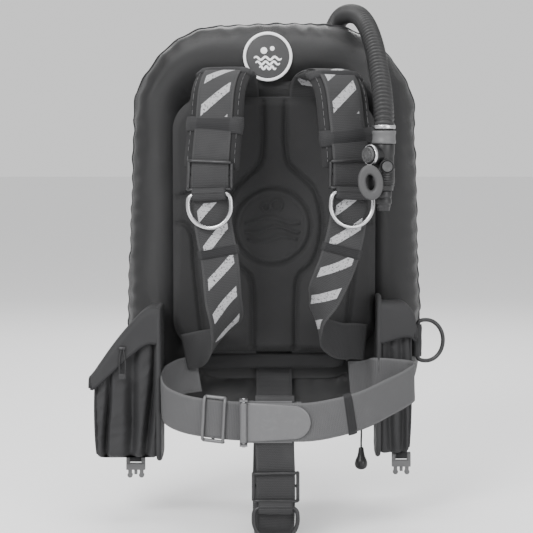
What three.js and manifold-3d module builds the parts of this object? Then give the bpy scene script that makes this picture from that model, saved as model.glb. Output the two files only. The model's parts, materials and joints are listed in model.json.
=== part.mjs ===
// Buoyancy compensator vest for a single cylinder: a doughnut air cell behind a backplate and harness.
// Millimetres, +Z up, +Y towards the cylinder, -Y the wearer's side, +X the wearer's left.
// The origin is the centre of the tank pad's rear face, where the cylinder rests.
import * as THREE from "three";
import { mergeVertices } from "three/addons/utils/BufferGeometryUtils.js";
import { ParametricGeometry } from "three/addons/geometries/ParametricGeometry.js";
import Module from "manifold-3d";

const wasm = await Module();
wasm.setup();

// ---- Driving dimensions ----
const gap = 0.3; // clearance between pieces that touch
const wing = {
  width: 412,
  height: 576,
  tube: 94, // width of the inflated tube
  depth: 84,
  cornerRadius: 74, // of the tube's centre line
  centreY: 22,
  skin: 1.4,
};
const webbing = { width: 50, thickness: 2.5 };
const plate = { width: 236, height: 372, thickness: 3, bandSlotX: 66 };
const backPad = { width: 280, height: 352, thickness: 26, centreZ: 9 };
const tankPad = { width: 50, height: 300, thickness: 7.9 };
const tankRadius = 92;
const bandHeights = [95, -95];
const hoseDiameter = 27;
const dRing = { inside: 51, drop: 44, wire: 5.6 };
const beltHeight = -235; // middle of the belt at the buckle
const buckle = { width: 84, height: 54, left: -38 };
const panelThickness = 2.5;
const pocket = { wall: 3, floor: -304 };

// ---- Geometry helpers ----
const v3 = (x, y, z) => new THREE.Vector3(x, y, z);
const toPoints = (rows) => rows.map((row) => v3(...row));

function bare(geometry) {
  const plain = new THREE.BufferGeometry();
  plain.setAttribute("position", geometry.getAttribute("position").clone());
  if (geometry.index) plain.setIndex(geometry.index.clone());
  return mergeVertices(plain, 1e-3);
}

function toSolid(geometry) {
  const merged = bare(geometry);
  return new wasm.Manifold(
    new wasm.Mesh({
      numProp: 3,
      vertProperties: merged.attributes.position.array,
      triVerts: new Uint32Array(merged.index.array),
    }),
  );
}

function toGeometry(solid) {
  const mesh = solid.getMesh();
  const geometry = new THREE.BufferGeometry();
  const positions = new THREE.BufferAttribute(mesh.vertProperties, mesh.numProp);
  geometry.setAttribute("position", positions);
  geometry.setIndex(new THREE.BufferAttribute(mesh.triVerts, 1));
  return geometry.toNonIndexed();
}

const join = (...parts) => toGeometry(parts.map(toSolid).reduce((a, b) => a.add(b)));
const cut = (body, ...tools) =>
  toGeometry(tools.reduce((rest, tool) => rest.subtract(toSolid(tool)), toSolid(body)));

// A box from its lowest corner to its highest.
function block(lo, hi) {
  const size = hi.map((value, i) => value - lo[i]);
  const middle = hi.map((value, i) => (value + lo[i]) / 2);
  return new THREE.BoxGeometry(...size).translate(...middle);
}

// A cylinder between two points.
function rod(from, to, radius, endRadius = radius, sides = 20) {
  const start = v3(...from);
  const along = v3(...to).sub(start);
  const shape = new THREE.CylinderGeometry(endRadius, radius, along.length(), sides);
  shape.translate(0, along.length() / 2, 0);
  const turn = new THREE.Quaternion().setFromUnitVectors(v3(0, 1, 0), along.clone().normalize());
  return shape.applyQuaternion(turn).translate(...from);
}

function roundedRect(width, height, radius, x = 0, y = 0) {
  const shape = new THREE.Shape();
  const left = x - width / 2;
  const base = y - height / 2;
  shape.moveTo(left + radius, base);
  shape.lineTo(left + width - radius, base);
  shape.absarc(left + width - radius, base + radius, radius, -Math.PI / 2, 0);
  shape.absarc(left + width - radius, base + height - radius, radius, 0, Math.PI / 2);
  shape.absarc(left + radius, base + height - radius, radius, Math.PI / 2, Math.PI);
  shape.absarc(left + radius, base + radius, radius, Math.PI, 1.5 * Math.PI);
  return shape;
}

// A flat outline in X and Z, from its rear face at y forwards by its thickness.
function panel(shape, y, thickness, bevel = 0) {
  const options = { depth: thickness - 2 * bevel, curveSegments: 6 };
  const edge = { bevelThickness: bevel, bevelSize: bevel, bevelOffset: -bevel, bevelSegments: 2 };
  const body = new THREE.ExtrudeGeometry(shape, { ...options, ...edge, bevelEnabled: bevel > 0 });
  return body.translate(0, 0, bevel).rotateX(Math.PI / 2).translate(0, y, 0);
}

// A section of x and y points swept round a closed path; frameAt gives origin, x and y directions.
function closedSweep(section, frameAt, stations) {
  const count = section.length;
  const surface = (u, v, target) => {
    const frame = frameAt(u % 1);
    const [x, y] = section[Math.round(v * count) % count];
    target.copy(frame.origin).addScaledVector(frame.x, x).addScaledVector(frame.y, y);
  };
  return new ParametricGeometry(surface, stations, count);
}

const ellipse = (a, b, sides, from = 0, to = 2 * Math.PI) =>
  Array.from({ length: sides }, (_, i) => {
    const angle = from + ((to - from) * i) / (to - from < 6 ? sides - 1 : sides);
    return [a * Math.cos(angle), b * Math.sin(angle)];
  });

// A strap's middle line, with the direction of its width at each point. Its sweeps share stations,
// so that layers laid on each other keep their clearance.
class StrapPath {
  constructor(rows, stations) {
    this.line = new THREE.CatmullRomCurve3(toPoints(rows.map((row) => row[0])), false, "centripetal");
    this.widths = new THREE.CatmullRomCurve3(toPoints(rows.map((row) => row[1])));
    this.line.arcLengthDivisions = 400;
    this.stations = stations;
  }

  frame(u) {
    const t = this.line.getUtoTmapping(u);
    const tangent = this.line.getTangent(t).normalize();
    const width = this.widths.getPoint(t);
    width.addScaledVector(tangent, -width.dot(tangent)).normalize();
    const origin = this.line.getPoint(t);
    return { origin, tangent, x: width, y: tangent.clone().cross(width) };
  }

  sweep(shape, from = 0, to = this.stations) {
    const path = new THREE.Curve();
    const place = (u) => this.frame((from + (to - from) * u) / this.stations);
    path.getPoint = (u) => place(u).origin;
    path.getPointAt = path.getPoint;
    path.computeFrenetFrames = (steps) => {
      const frames = Array.from({ length: steps + 1 }, (_, i) => place(i / steps));
      return {
        tangents: frames.map((frame) => frame.tangent),
        normals: frames.map((frame) => frame.x),
        binormals: frames.map((frame) => frame.y),
      };
    };
    const options = { steps: to - from, extrudePath: path, bevelEnabled: false, curveSegments: 2 };
    return new THREE.ExtrudeGeometry(shape, options);
  }
}

// A flat section, its faces cut into strips so that a twist stays even across it.
const bar = (width, low, high, strips = 1) => {
  const shape = new THREE.Shape();
  const across = (i) => width * (i / strips - 0.5);
  shape.moveTo(across(0), low);
  for (let i = 1; i <= strips; i += 1) shape.lineTo(across(i), low);
  for (let i = strips; i >= 0; i -= 1) shape.lineTo(across(i), high);
  return shape;
};

// A sleeve round a stack of layers: its outline with a hole.
function sleeve(width, low, high, wall, clearance = gap) {
  const outer = bar(width + 2 * (wall + clearance), low - wall - clearance, high + wall + clearance);
  outer.holes.push(bar(width + 2 * clearance, low - clearance, high + clearance));
  return outer;
}

// ---- Materials and the assembly ----
const finish = (color, roughness, metalness = 0) =>
  new THREE.MeshStandardMaterial({ color, roughness, metalness });
const cordura = finish(0x17181a, 0.55);
const foam = finish(0x2b2c2e, 0.9);
const strapBlack = finish(0x2e2f31, 0.8);
const strapGrey = finish(0x5c5d5f, 0.8);
const rubber = finish(0x222324, 0.6);
const plastic = finish(0x1b1c1d, 0.4);
const greyPlastic = finish(0x6d6e70, 0.5);
const steel = finish(0x9fa0a2, 0.3, 1);
const blackSteel = finish(0x202122, 0.35, 1);

const vest = new THREE.Group();
function add(name, geometry, material) {
  const mesh = new THREE.Mesh(geometry, material);
  mesh.name = name;
  vest.add(mesh);
  return mesh;
}

// ---- Air cell ----
const halfTube = wing.tube / 2;
const ring = {
  x: wing.width / 2 - halfTube,
  z: wing.height / 2 - halfTube,
  corner: wing.cornerRadius,
};

// The tube's centre line: a rounded rectangle walked at an even pace.
const ringLine = (() => {
  const shape = roundedRect(2 * ring.x, 2 * ring.z, ring.corner);
  shape.closePath();
  shape.arcLengthDivisions = 400;
  return (u) => {
    const point = shape.getPointAt(u);
    const along = shape.getTangentAt(u);
    return {
      origin: v3(point.x, wing.centreY, point.y),
      x: v3(along.y, 0, -along.x), // outwards
      y: v3(0, -1, 0), // forwards
    };
  };
})();

const outer = [halfTube, wing.depth / 2];
const inner = outer.map((half) => half - wing.skin);
const bladder = inner.map((half) => half - gap);
const ringStations = 40;
const halfSection = (from) => [
  ...ellipse(...outer, 9, from, from + Math.PI),
  ...ellipse(...inner, 9, from + Math.PI, from),
];
const seam = (section, side) => section.map(([x, y]) => [x, y + side * (gap / 2)]);
add("wing_front_shell", closedSweep(seam(halfSection(0), 1), ringLine, ringStations), cordura);
add("wing_rear_shell", closedSweep(seam(halfSection(Math.PI), -1), ringLine, ringStations), cordura);
add("wing_bladder", closedSweep(ellipse(...bladder, 16), ringLine, ringStations), rubber);

// How far the tube reaches in from its centre line at a depth.
const tubeReach = (y) =>
  halfTube * Math.sqrt(Math.max(0, 1 - ((y - wing.centreY) / (wing.depth / 2)) ** 2));

const panelRear = -tankPad.thickness - gap;
const panelFront = panelRear - panelThickness;
const panelReach = tubeReach(panelRear) + 2 * gap;
const panelOutline = roundedRect(
  2 * (ring.x - panelReach),
  2 * (ring.z - panelReach),
  ring.corner - 20,
);
const plateRear = panelFront - gap;
const plateFront = plateRear - plate.thickness;

// Slots that both tank bands pass through, in the panel and in the plate.
const bandThickness = 2.5;
const slotReach = 9;
const bandSlots = bandHeights.flatMap((z) =>
  [-1, 1].map((side) => {
    const x = side * plate.bandSlotX;
    const half = webbing.width / 2 + 2;
    return block([x - slotReach, plateFront - 1, z - half], [x + slotReach, panelRear + 1, z + half]);
  }),
);
const centrePanel = panel(panelOutline, panelRear, panelThickness);
add("wing_centre_panel", cut(centrePanel, ...bandSlots), cordura);

// A round patch on the top of the front shell, seated on its flattest line.
const patch = { radius: 34, thickness: 3, x: -9, z: ring.z };
const patchY = wing.centreY - wing.depth / 2 - gap;
const patchRod = rod([patch.x, patchY, patch.z], [patch.x, patchY - patch.thickness, patch.z], patch.radius);
add("wing_patch", patchRod, plastic);

// ---- Backplate, back pad and tank pad ----
const plateOutline = roundedRect(plate.width, plate.height, 30);
add("backplate", cut(panel(plateOutline, plateRear, plate.thickness), ...bandSlots), blackSteel);

const tankPadBody = block(
  [-tankPad.width / 2, -tankPad.thickness, -tankPad.height / 2],
  [tankPad.width / 2, 0, tankPad.height / 2],
);
add("tank_pad", tankPadBody, rubber);

const bandFront = plateFront - gap - bandThickness;
const padRear = bandFront - gap;
const padFront = padRear - backPad.thickness;
const padOutline = roundedRect(backPad.width, backPad.height, 46, 0, backPad.centreZ);
add("back_pad", panel(padOutline, padRear, backPad.thickness, 7), foam);
const lumbar = { z: -181, height: 20, left: -128, right: 100, thickness: 16 };
const lumbarBody = block(
  [lumbar.left, padRear - lumbar.thickness, lumbar.z - lumbar.height / 2],
  [lumbar.right, padRear, lumbar.z + lumbar.height / 2],
);
add("lumbar_pad", lumbarBody, strapBlack);

// ---- Tank bands: each runs across the plate's front, through its slots and round the cylinder ----
const bandArcFrom = 2.32; // radians each side of the rearmost point where the band meets the cylinder
const bandMiddle = tankRadius + gap + bandThickness / 2;
function bandLine(z) {
  const rows = [];
  const frontY = bandFront + bandThickness / 2;
  for (const x of [-30, 0, 30, 54]) rows.push([x, frontY]);
  rows.push([plate.bandSlotX - 3, frontY + 1], [plate.bandSlotX, frontY + 5]);
  rows.push([plate.bandSlotX + 1, 3]);
  const arcPoints = 13;
  for (let i = 0; i < arcPoints; i += 1) {
    const angle = bandArcFrom * (1 - (2 * i) / (arcPoints - 1));
    rows.push([bandMiddle * Math.sin(angle), tankRadius + bandMiddle * Math.cos(angle)]);
  }
  rows.push([-plate.bandSlotX - 1, 3], [-plate.bandSlotX, frontY + 5]);
  rows.push([-plate.bandSlotX + 3, frontY + 1], [-54, frontY]);
  const line = new THREE.CatmullRomCurve3(toPoints(rows.map(([x, y]) => [x, y, z])), true, "centripetal");
  line.arcLengthDivisions = 600;
  return line;
}

const bandBuckle = { angle: 0.6, length: 62, thickness: 9, lever: 5 };
const strapSection = (width, thickness) => [
  [-thickness / 2, -width / 2],
  [thickness / 2, -width / 2],
  [thickness / 2, width / 2],
  [-thickness / 2, width / 2],
];
bandHeights.forEach((z, i) => {
  const name = ["upper", "lower"][i];
  const line = bandLine(z);
  const frameAt = (u) => {
    const along = line.getTangentAt(u);
    return { origin: line.getPointAt(u), x: v3(along.y, -along.x, 0), y: v3(0, 0, 1) };
  };
  add(name + "_tank_band", closedSweep(strapSection(webbing.width, bandThickness), frameAt, 72), strapBlack);

  // The cam buckle's body lies on the band, and its lever on the body, hinged at one end.
  const seat = tankRadius + gap + bandThickness + 2 * gap;
  const place = (geometry) =>
    geometry.rotateZ(-bandBuckle.angle).translate(0, tankRadius, z);
  const half = bandBuckle.length / 2;
  const hollow = rod([0, 0, -30], [0, 0, 30], seat, seat, 64);
  const frameBody = cut(block([-half, seat - 6, -29], [half, seat + bandBuckle.thickness, 29]), hollow);
  const pinY = seat + bandBuckle.thickness + gap + 3;
  const leverSlab = block([-half + 4, pinY - 2.6, -24], [half + 6, pinY + 2.4, 24]);
  const leverBarrel = rod([-half + 4, pinY, -24], [-half + 4, pinY, 24], 3, 3, 12);
  add(name + "_band_buckle", place(frameBody), plastic);
  add(name + "_band_lever", place(join(leverSlab, leverBarrel)), greyPlastic);
});

// ---- Shoulder harness ----
// Each row is a point of the strap's middle line and the direction of its width there.
const strapStations = 64;
const strapHalf = webbing.thickness / 2;
// From the plate's top slot each strap arches forwards in one upright plane, which leans outwards.
const slotX = 46;
const lean = { left: -0.283, right: 0.408 };
const archFrom = bandFront + strapHalf;
const archRows = (slope, side, drops) =>
  drops.map(([y, z], i) => {
    const eased = slope * Math.min(1, i / 3); // the strap is flat where it leaves the slot
    return [[side * slotX + slope * (archFrom - y), y, z], [1, eased, 0]];
  });
const arch = [[-16.6, 192], [-21, 204], [-34, 214], [-62, 220], [-96, 217], [-122, 194], [-135, 150]];
const slotRows = (side) =>
  [132, 156, 178].map((z) => [[side * slotX, archFrom, z], [1, 0, 0]]);
const leftRoute = [
  ...slotRows(-1),
  ...archRows(lean.left, -1, arch),
  [[-84, -139, 100], [1, -0.2, 0]],
  [[-85, -140, 55], [1, -0.1, 0]],
  [[-80, -138, 10], [1, 0, -0.1]],
  [[-72, -134, -35], [1, 0.1, -0.15]],
  [[-68, -126, -85], [1, 0.25, -0.1]],
  [[-64, -108, -118], [1, 0.7, 0.1]],
  [[-72, -84, -142], [0.7, 0.9, 0.7]],
  [[-90, -66, -154], [0.3, 0.4, 1]],
  [[-108, padFront - 9, -162], [0, 0.1, 1]],
  [[-124, padFront - gap - 3, -166], [0, 0, 1]],
];
const rightRoute = [
  ...slotRows(1),
  ...archRows(lean.right, 1, arch),
  [[100, -138, 100], [1, 0.3, 0]],
  [[100, -138, 55], [1, 0.2, 0]],
  [[95, -136, 10], [1, 0.1, 0.15]],
  [[84, -130, -35], [1, -0.1, 0.25]],
  [[66, -120, -80], [0.8, -0.5, 0.3]],
  [[56, -104, -112], [0.3, -1, -0.1]],
  [[66, -84, -134], [-0.2, -0.8, -0.8]],
  [[90, -66, -148], [-0.1, -0.2, -1]],
  [[110, padFront - 9, -150], [0, 0, -1]],
  [[126, padFront - gap - 3, -152], [0, 0, -1]],
];
const shoulderPad = { width: 74, thickness: 13, from: 12, to: 31, clearance: 0.8 };
const ringLoop = { outer: 7.4, inner: 3.9, width: 44 };
const shoulders = [
  { side: "left", rows: leftRoute, upper: 14, middle: 24, slider: 33 },
  { side: "right", rows: rightRoute, upper: 16, middle: 26, slider: 33 },
];

// A closed wire in the shape of a D: its straight side lies on the origin along x, its bow hangs to -z.
function dRingLine(size) {
  const half = (size.inside + size.wire) / 2;
  const bow = new THREE.Shape();
  const bend = 9;
  bow.moveTo(half - bend, 0);
  bow.lineTo(-half + bend, 0);
  bow.absarc(-half + bend, -bend, bend, Math.PI / 2, Math.PI);
  bow.lineTo(-half, -size.drop * 0.35);
  bow.absellipse(0, -size.drop * 0.35, half, size.drop * 0.65, Math.PI, 2 * Math.PI);
  bow.lineTo(half, -bend);
  bow.absarc(half - bend, -bend, bend, 0, Math.PI / 2);
  bow.arcLengthDivisions = 300;
  return (u) => {
    const point = bow.getPointAt(u);
    const along = bow.getTangentAt(u);
    return { origin: v3(point.x, 0, point.y), x: v3(along.y, 0, -along.x), y: v3(0, -1, 0) };
  };
}
const dRingBody = (size) =>
  closedSweep(ellipse(size.wire / 2, size.wire / 2, 8), dRingLine(size), 36);

// Puts a piece made about the origin at a strap's station, x along its width and y out of its face.
function seatOn(geometry, frame, out) {
  const basis = new THREE.Matrix4().makeBasis(frame.x, frame.y, frame.tangent);
  const move = frame.origin.clone().addScaledVector(frame.y, out);
  return geometry.applyMatrix4(basis.setPosition(move));
}

// A tube for a ring's straight side, its axis along x.
function loopTube(size) {
  const half = size.width / 2;
  const tube = rod([-half, 0, 0], [half, 0, 0], size.outer, size.outer, 16);
  return cut(tube, rod([-half - 1, 0, 0], [half + 1, 0, 0], size.inner, size.inner, 16));
}

shoulders.forEach(({ side, rows, upper, middle, slider }) => {
  const path = new StrapPath(rows, strapStations);
  const padHigh = -strapHalf - shoulderPad.clearance;
  const padLow = padHigh - shoulderPad.thickness;
  const padShape = roundedRect(shoulderPad.width, shoulderPad.thickness, 5, 0, (padHigh + padLow) / 2);
  add(side + "_shoulder_pad", path.sweep(padShape, shoulderPad.from, shoulderPad.to), foam);

  const ringStation = slider + 1.5;
  const ringFrame = path.frame(ringStation / strapStations);
  const ringOut = strapHalf + ringLoop.outer - 0.6;
  const loop = seatOn(loopTube(ringLoop), ringFrame, ringOut);
  const strip = path.sweep(bar(webbing.width, -strapHalf, strapHalf, 4));
  add(side + "_shoulder_webbing", join(strip, loop), strapGrey);

  const keeper = sleeve(shoulderPad.width, padLow, strapHalf, 2.2, 1);
  add(side + "_upper_keeper", path.sweep(keeper, upper, upper + 2), strapBlack);
  add(side + "_middle_keeper", path.sweep(keeper, middle, middle + 2), strapBlack);
  const narrow = sleeve(webbing.width, -strapHalf, strapHalf, 2, 0.9);
  add(side + "_lower_keeper", path.sweep(narrow, slider + 9, slider + 10), strapBlack);
  const slide = sleeve(webbing.width, -strapHalf, strapHalf, 3, 0.7);
  add(side + "_slider", path.sweep(slide, slider - 1, slider), blackSteel);

  const ringBody = dRingBody(dRing);
  const move = ringFrame.origin.clone().addScaledVector(ringFrame.y, ringOut);
  const turn = new THREE.Matrix4().makeBasis(
    ringFrame.x,
    v3(0, 0, 1).cross(ringFrame.x).normalize(),
    v3(0, 0, 1).addScaledVector(ringFrame.x, -ringFrame.x.z).normalize(),
  );
  add(side + "_d_ring", ringBody.applyMatrix4(turn.setPosition(move)), steel);
});

// ---- Waist belt ----
const up = [0, 0, 1];
const beltY = -202.8; // middle of the webbing behind the buckle
const loopGap = 0.8; // round the belt, inside the crotch strap's loop
const frameRear = beltY - strapHalf - 2 * loopGap - webbing.thickness; // clear of that loop
const frameThickness = 2.5;
const frameFront = frameRear - frameThickness;
const tailY = frameFront - 3 * gap - strapHalf; // middle of the belt's tail, over the frame
const onPad = padFront - gap - strapHalf;
const leftBeltRoute = [
  [[-104, onPad, -196], up],
  [[-128, onPad - 1, -200], up],
  [[-146, -64, -206], up],
  [[-151.3, -84, -211], up],
  [[-151.6, -110, -216], up],
  [[-143, -146, -224], up],
  [[-118, -176, -230], up],
  [[-84, -195, -233], up],
  [[-46, beltY, beltHeight], up],
  [[0, beltY, beltHeight], up],
  [[34, beltY, beltHeight], up],
];

const rightBeltRoute = [
  [[104, onPad, -204], up],
  [[126, onPad - 6, -202], up],
  [[137, -76, -195], up],
  [[166, -80, -196], up],
  [[183, -87, -197], up],
  [[188, -102, -199], up],
  [[176, -124, -204], up],
  [[150, -154, -212], up],
  [[112, -186, -224], up],
  [[76, -203, -231], up],
  [[46, -209, beltHeight], up],
  [[14, tailY, beltHeight], up],
  [[-26, tailY, beltHeight], up],
];
const beltStations = 40;
const beltShape = bar(webbing.width, -strapHalf, strapHalf);
const leftBelt = new StrapPath(leftBeltRoute, beltStations);
const rightBelt = new StrapPath(rightBeltRoute, beltStations);
add("left_waist_belt", leftBelt.sweep(beltShape), strapGrey);
add("right_waist_belt", rightBelt.sweep(beltShape), strapGrey);
const beltSleeve = sleeve(webbing.width, -strapHalf, strapHalf, 2.4, 0.8);
add("belt_slider", leftBelt.sweep(beltSleeve, 25, 28), blackSteel);
add("belt_keeper", rightBelt.sweep(sleeve(webbing.width, -strapHalf, strapHalf, 2, 0.8), 26, 27), strapBlack);

// ---- Buckle: a frame on the belt with a lever hinged on an upright pin at its left end ----
const halfBuckle = buckle.height / 2;
const lowest = beltHeight - halfBuckle;
const highest = beltHeight + halfBuckle;
const pin = { x: buckle.left - 2, y: frameFront - 5.2, radius: 2.2, clearance: 0.35 };
const frameEdge = buckle.left - 7;
const framePlate = block([frameEdge, frameFront, lowest], [22, frameRear, highest]);
const barFront = [buckle.left + 10, beltY - strapHalf - 3 * gap, highest];
const frameBar = block([frameEdge, frameRear - 1, lowest], barFront);
const ears = [lowest - 3.2, highest + 0.4].map((z) =>
  block([frameEdge, pin.y - 4.5, z], [buckle.left + 3, frameRear, z + 2.8]),
);
const earJoins = [lowest - 3.2, highest - 0.2].map((z) =>
  block([frameEdge, frameFront, z], [buckle.left + 3, frameRear, z + 3.4]),
);
const pinHole = rod([pin.x, pin.y, lowest - 8], [pin.x, pin.y, highest + 8], pin.radius + gap);
add("buckle_frame", cut(join(framePlate, frameBar, ...ears, ...earJoins), pinHole), steel);
// A rod along the pin's axis, from reach beyond the frame's lower edge to reach beyond its upper one.
const alongPin = (reach, radius) =>
  rod([pin.x, pin.y, lowest - reach], [pin.x, pin.y, highest + reach], radius, radius, 16);
add("buckle_pin", alongPin(5, pin.radius), steel);

const leverRight = buckle.left + buckle.width;
const leverOutline = new THREE.Shape();
leverOutline.moveTo(pin.x, beltHeight - halfBuckle + 1);
leverOutline.lineTo(leverRight - 20, beltHeight - 20);
leverOutline.absarc(leverRight - 20, beltHeight, 20, -Math.PI / 2, Math.PI / 2);
leverOutline.lineTo(pin.x, beltHeight + halfBuckle - 1);
const leverRear = tailY - strapHalf - 2 * gap;
const leverPlate = panel(leverOutline, leverRear, 4, 1);
const barrel = alongPin(-1, pin.radius + 2.6);
const barrelHole = alongPin(2, pin.radius + pin.clearance);
add("buckle_lever", cut(join(leverPlate, barrel), barrelHole), greyPlastic);

// ---- Crotch strap: a loop on the belt, down in front, round and up behind to the plate ----
const across = [1, 0, 0];
const loopTop = beltHeight + webbing.width / 2 + strapHalf + 5;
const loopLow = beltHeight - webbing.width / 2 - 4;
const loopRear = beltY + strapHalf + loopGap + strapHalf;
const loopFront = beltY - strapHalf - loopGap - strapHalf;
const crotchRoute = [
  [[0, loopRear, loopLow - 6], across],
  [[0, loopRear, beltHeight], across],
  [[0, loopRear, loopTop - 3], across],
  [[0, beltY, loopTop + 1], across],
  [[0, loopFront, loopTop - 3], across],
  [[0, loopFront, beltHeight], across],
  [[0, loopFront, loopLow - 6], across],
  [[1, -208, -300], across],
  [[1, -207, -345], across],
  [[0, -202, -374], across],
  [[-1, -192, -384], across],
  [[-3, -176, -376], across],
  [[-4, -140, -340], across],
  [[-3, -80, -272], across],
  [[0, -34, -224], across],
  [[0, -20, -208], across],
  [[0, archFrom - 0.1, -196], across],
  [[0, archFrom - 0.02, -182], across],
  [[0, archFrom, -160], across],
  [[0, archFrom, -132], across],
];
const crotch = new StrapPath(crotchRoute, 96);
const crotchStrap = crotch.sweep(bar(webbing.width, -strapHalf, strapHalf));
// The lower ring hangs in a small roll of webbing on the front leg.
const crotchRing = { ...dRing, station: 35, wire: 5.6 };
const crotchFrame = crotch.frame(crotchRing.station / 96);
const crotchOut = strapHalf + ringLoop.outer - 0.6;
add("crotch_strap", join(crotchStrap, seatOn(loopTube(ringLoop), crotchFrame, crotchOut)), strapGrey);
const crotchSleeve = sleeve(webbing.width, -strapHalf, strapHalf, 2.6, 0.7);
add("crotch_slider", crotch.sweep(crotchSleeve, 30, 32), blackSteel);
const crotchRingPlace = crotchFrame.origin.clone().addScaledVector(crotchFrame.y, crotchOut);
add("crotch_d_ring", dRingBody(dRing).translate(...crotchRingPlace.toArray()), blackSteel);


// ---- Inflator hose: elbow on the rear shell, over the top of the wing, down to the inflator ----
const elbow = { x: 84, flange: 20, radius: 14.5, reach: 24, rise: 29 };
const elbowBase = wing.centreY + wing.depth / 2 + gap;
const elbowTurn = [elbow.x, elbowBase + elbow.reach, ring.z];
const elbowParts = [
  rod([elbow.x, elbowBase, ring.z], [elbow.x, elbowBase + 5, ring.z], elbow.flange, elbow.flange, 32),
  rod([elbow.x, elbowBase + 4, ring.z], elbowTurn, elbow.radius),
  new THREE.SphereGeometry(elbow.radius, 20, 10).translate(...elbowTurn),
  rod(elbowTurn, [elbow.x, elbowTurn[1], ring.z + elbow.rise], elbow.radius, elbow.radius - 1),
];
add("inflator_elbow", join(...elbowParts), plastic);

const inflator = { x: 141, y: -166, top: 120, bottom: 60, radius: 14 };
const collarHeight = 17;
const hoseEnd = inflator.top + gap + collarHeight + gap;
const hosePoints = [
  [elbow.x, elbowTurn[1], ring.z + elbow.rise + gap],
  [elbow.x, elbowTurn[1], 279],
  [89, 80, 292],
  [95, 62, 301],
  [102, 38, 304],
  [110, 8, 302],
  [118, -24, 295],
  [126, -58, 278],
  [133, -90, 250],
  [137, -118, 218],
  [140, -142, 188],
  [141, -159, 162],
  [inflator.x, inflator.y, hoseEnd + 8],
  [inflator.x, inflator.y, hoseEnd],
];
const circle = (radius) => {
  const shape = new THREE.Shape();
  return shape.absarc(0, 0, radius, 0, 2 * Math.PI);
};
function cordTube(points, diameter, steps, sides) {
  const line = new THREE.CatmullRomCurve3(toPoints(points), false, "centripetal");
  const options = { steps, extrudePath: line, bevelEnabled: false, curveSegments: sides / 2 };
  return new THREE.ExtrudeGeometry(circle(diameter / 2), options);
}
add("corrugated_hose", cordTube(hosePoints, hoseDiameter, 26, 12), rubber);

const at = (z, dx = 0, dy = 0) => [inflator.x + dx, inflator.y + dy, z];
const collarLow = inflator.top + gap;
add("hose_collar", rod(at(collarLow), at(collarLow + collarHeight), 15.5, 14.5), greyPlastic);
const exhaust = { radius: 10.8, travel: 3, recess: 4.5, z: 106 };
const exhaustOut = v3(-0.8, -0.6, 0);
const exhaustRim = v3(...at(exhaust.z)).addScaledVector(exhaustOut, 25);
const fromRim = (distance) => exhaustRim.clone().addScaledVector(exhaustOut, distance).toArray();
const inflate = { radius: 7, travel: 2.5, x: 3, z: 91 };
const mouth = { x: 122, z: 71, y: -185, width: 32, height: 46, hole: 12, holeHeight: 22, length: 15 };
const inflatorBody = join(
  rod(at(inflator.bottom), at(inflator.top), inflator.radius, inflator.radius, 24),
  rod(at(exhaust.z), fromRim(0), 13, 13, 24),
  rod(at(mouth.z + 1), [mouth.x, mouth.y + 10, mouth.z], 11),
  rod([mouth.x, mouth.y + 14, mouth.z], [mouth.x, mouth.y, mouth.z], 11),
  rod(at(inflate.z, inflate.x), at(inflate.z, inflate.x, -inflator.radius - 3), inflate.radius + 2.4),
);
const inflateWell = [1 - inflator.radius, -inflator.radius - 6].map((out) => at(inflate.z, inflate.x, out));
const recesses = [
  rod(fromRim(-exhaust.recess), fromRim(2), exhaust.radius + 0.4),
  rod(...inflateWell, inflate.radius + 0.4),
];
add("inflator_body", cut(inflatorBody, ...recesses), plastic);
const exhaustInner = fromRim(-exhaust.recess + exhaust.travel + gap);
add("exhaust_button", rod(exhaustInner, fromRim(2.6), exhaust.radius), greyPlastic);
const inflateFrom = 1 - inflator.radius - inflate.travel - gap;
const inflateEnds = [inflateFrom, -inflator.radius - 5.6].map((out) => at(inflate.z, inflate.x, out));
add("inflate_button", rod(...inflateEnds, inflate.radius), greyPlastic);
const coupling = rod(at(inflator.bottom - gap), at(34), 10.5, 9);
add("hose_coupling", coupling, steel);

const mouthOutline = new THREE.Shape();
mouthOutline.absellipse(0, 0, mouth.width / 2, mouth.height / 2, 0, 2 * Math.PI);
const mouthHole = new THREE.Path();
mouthHole.absellipse(0, 0, mouth.hole / 2, mouth.holeHeight / 2, 0, 2 * Math.PI);
mouthOutline.holes.push(mouthHole);
const mouthBody = panel(mouthOutline, 0, mouth.length).translate(mouth.x, mouth.y - gap, mouth.z);
add("mouthpiece", mouthBody, rubber);

// ---- Dump valve low on the front shell, with its pull ----
const dump = { x: 112, z: beltHeight - 17, radius: 22, thickness: 8 };
const dumpRear = wing.centreY - wing.depth / 2 - 2 * gap;
const dumpParts = [
  rod([dump.x, dumpRear, dump.z], [dump.x, dumpRear - dump.thickness, dump.z], dump.radius, 20, 28),
  rod([dump.x, dumpRear - 7, dump.z], [dump.x, dumpRear - 12, dump.z], 14, 12),
];
add("dump_valve", join(...dumpParts), plastic);
const pull = { x: 122, y: dumpRear - 4.5, top: dump.z - 19.2, length: 31, diameter: 2.6 };
const pullPoints = [0, 0.25, 0.5, 0.75, 1].map((t) => [pull.x, pull.y, pull.top - pull.length * t]);
add("dump_cord", cordTube(pullPoints, pull.diameter, 4, 8), strapBlack);
const toggleProfile = [[0, 0], [3.4, 0], [4.6, -8], [8.4, -24], [9, -29], [7, -32], [0, -32]];
const toggle = new THREE.LatheGeometry(toggleProfile.reverse().map(([r, z]) => new THREE.Vector2(r, z)), 8);
toggle.rotateX(Math.PI / 2).translate(pull.x, pull.y, pull.top - pull.length - gap);
add("dump_toggle", toggle, rubber);

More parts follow.
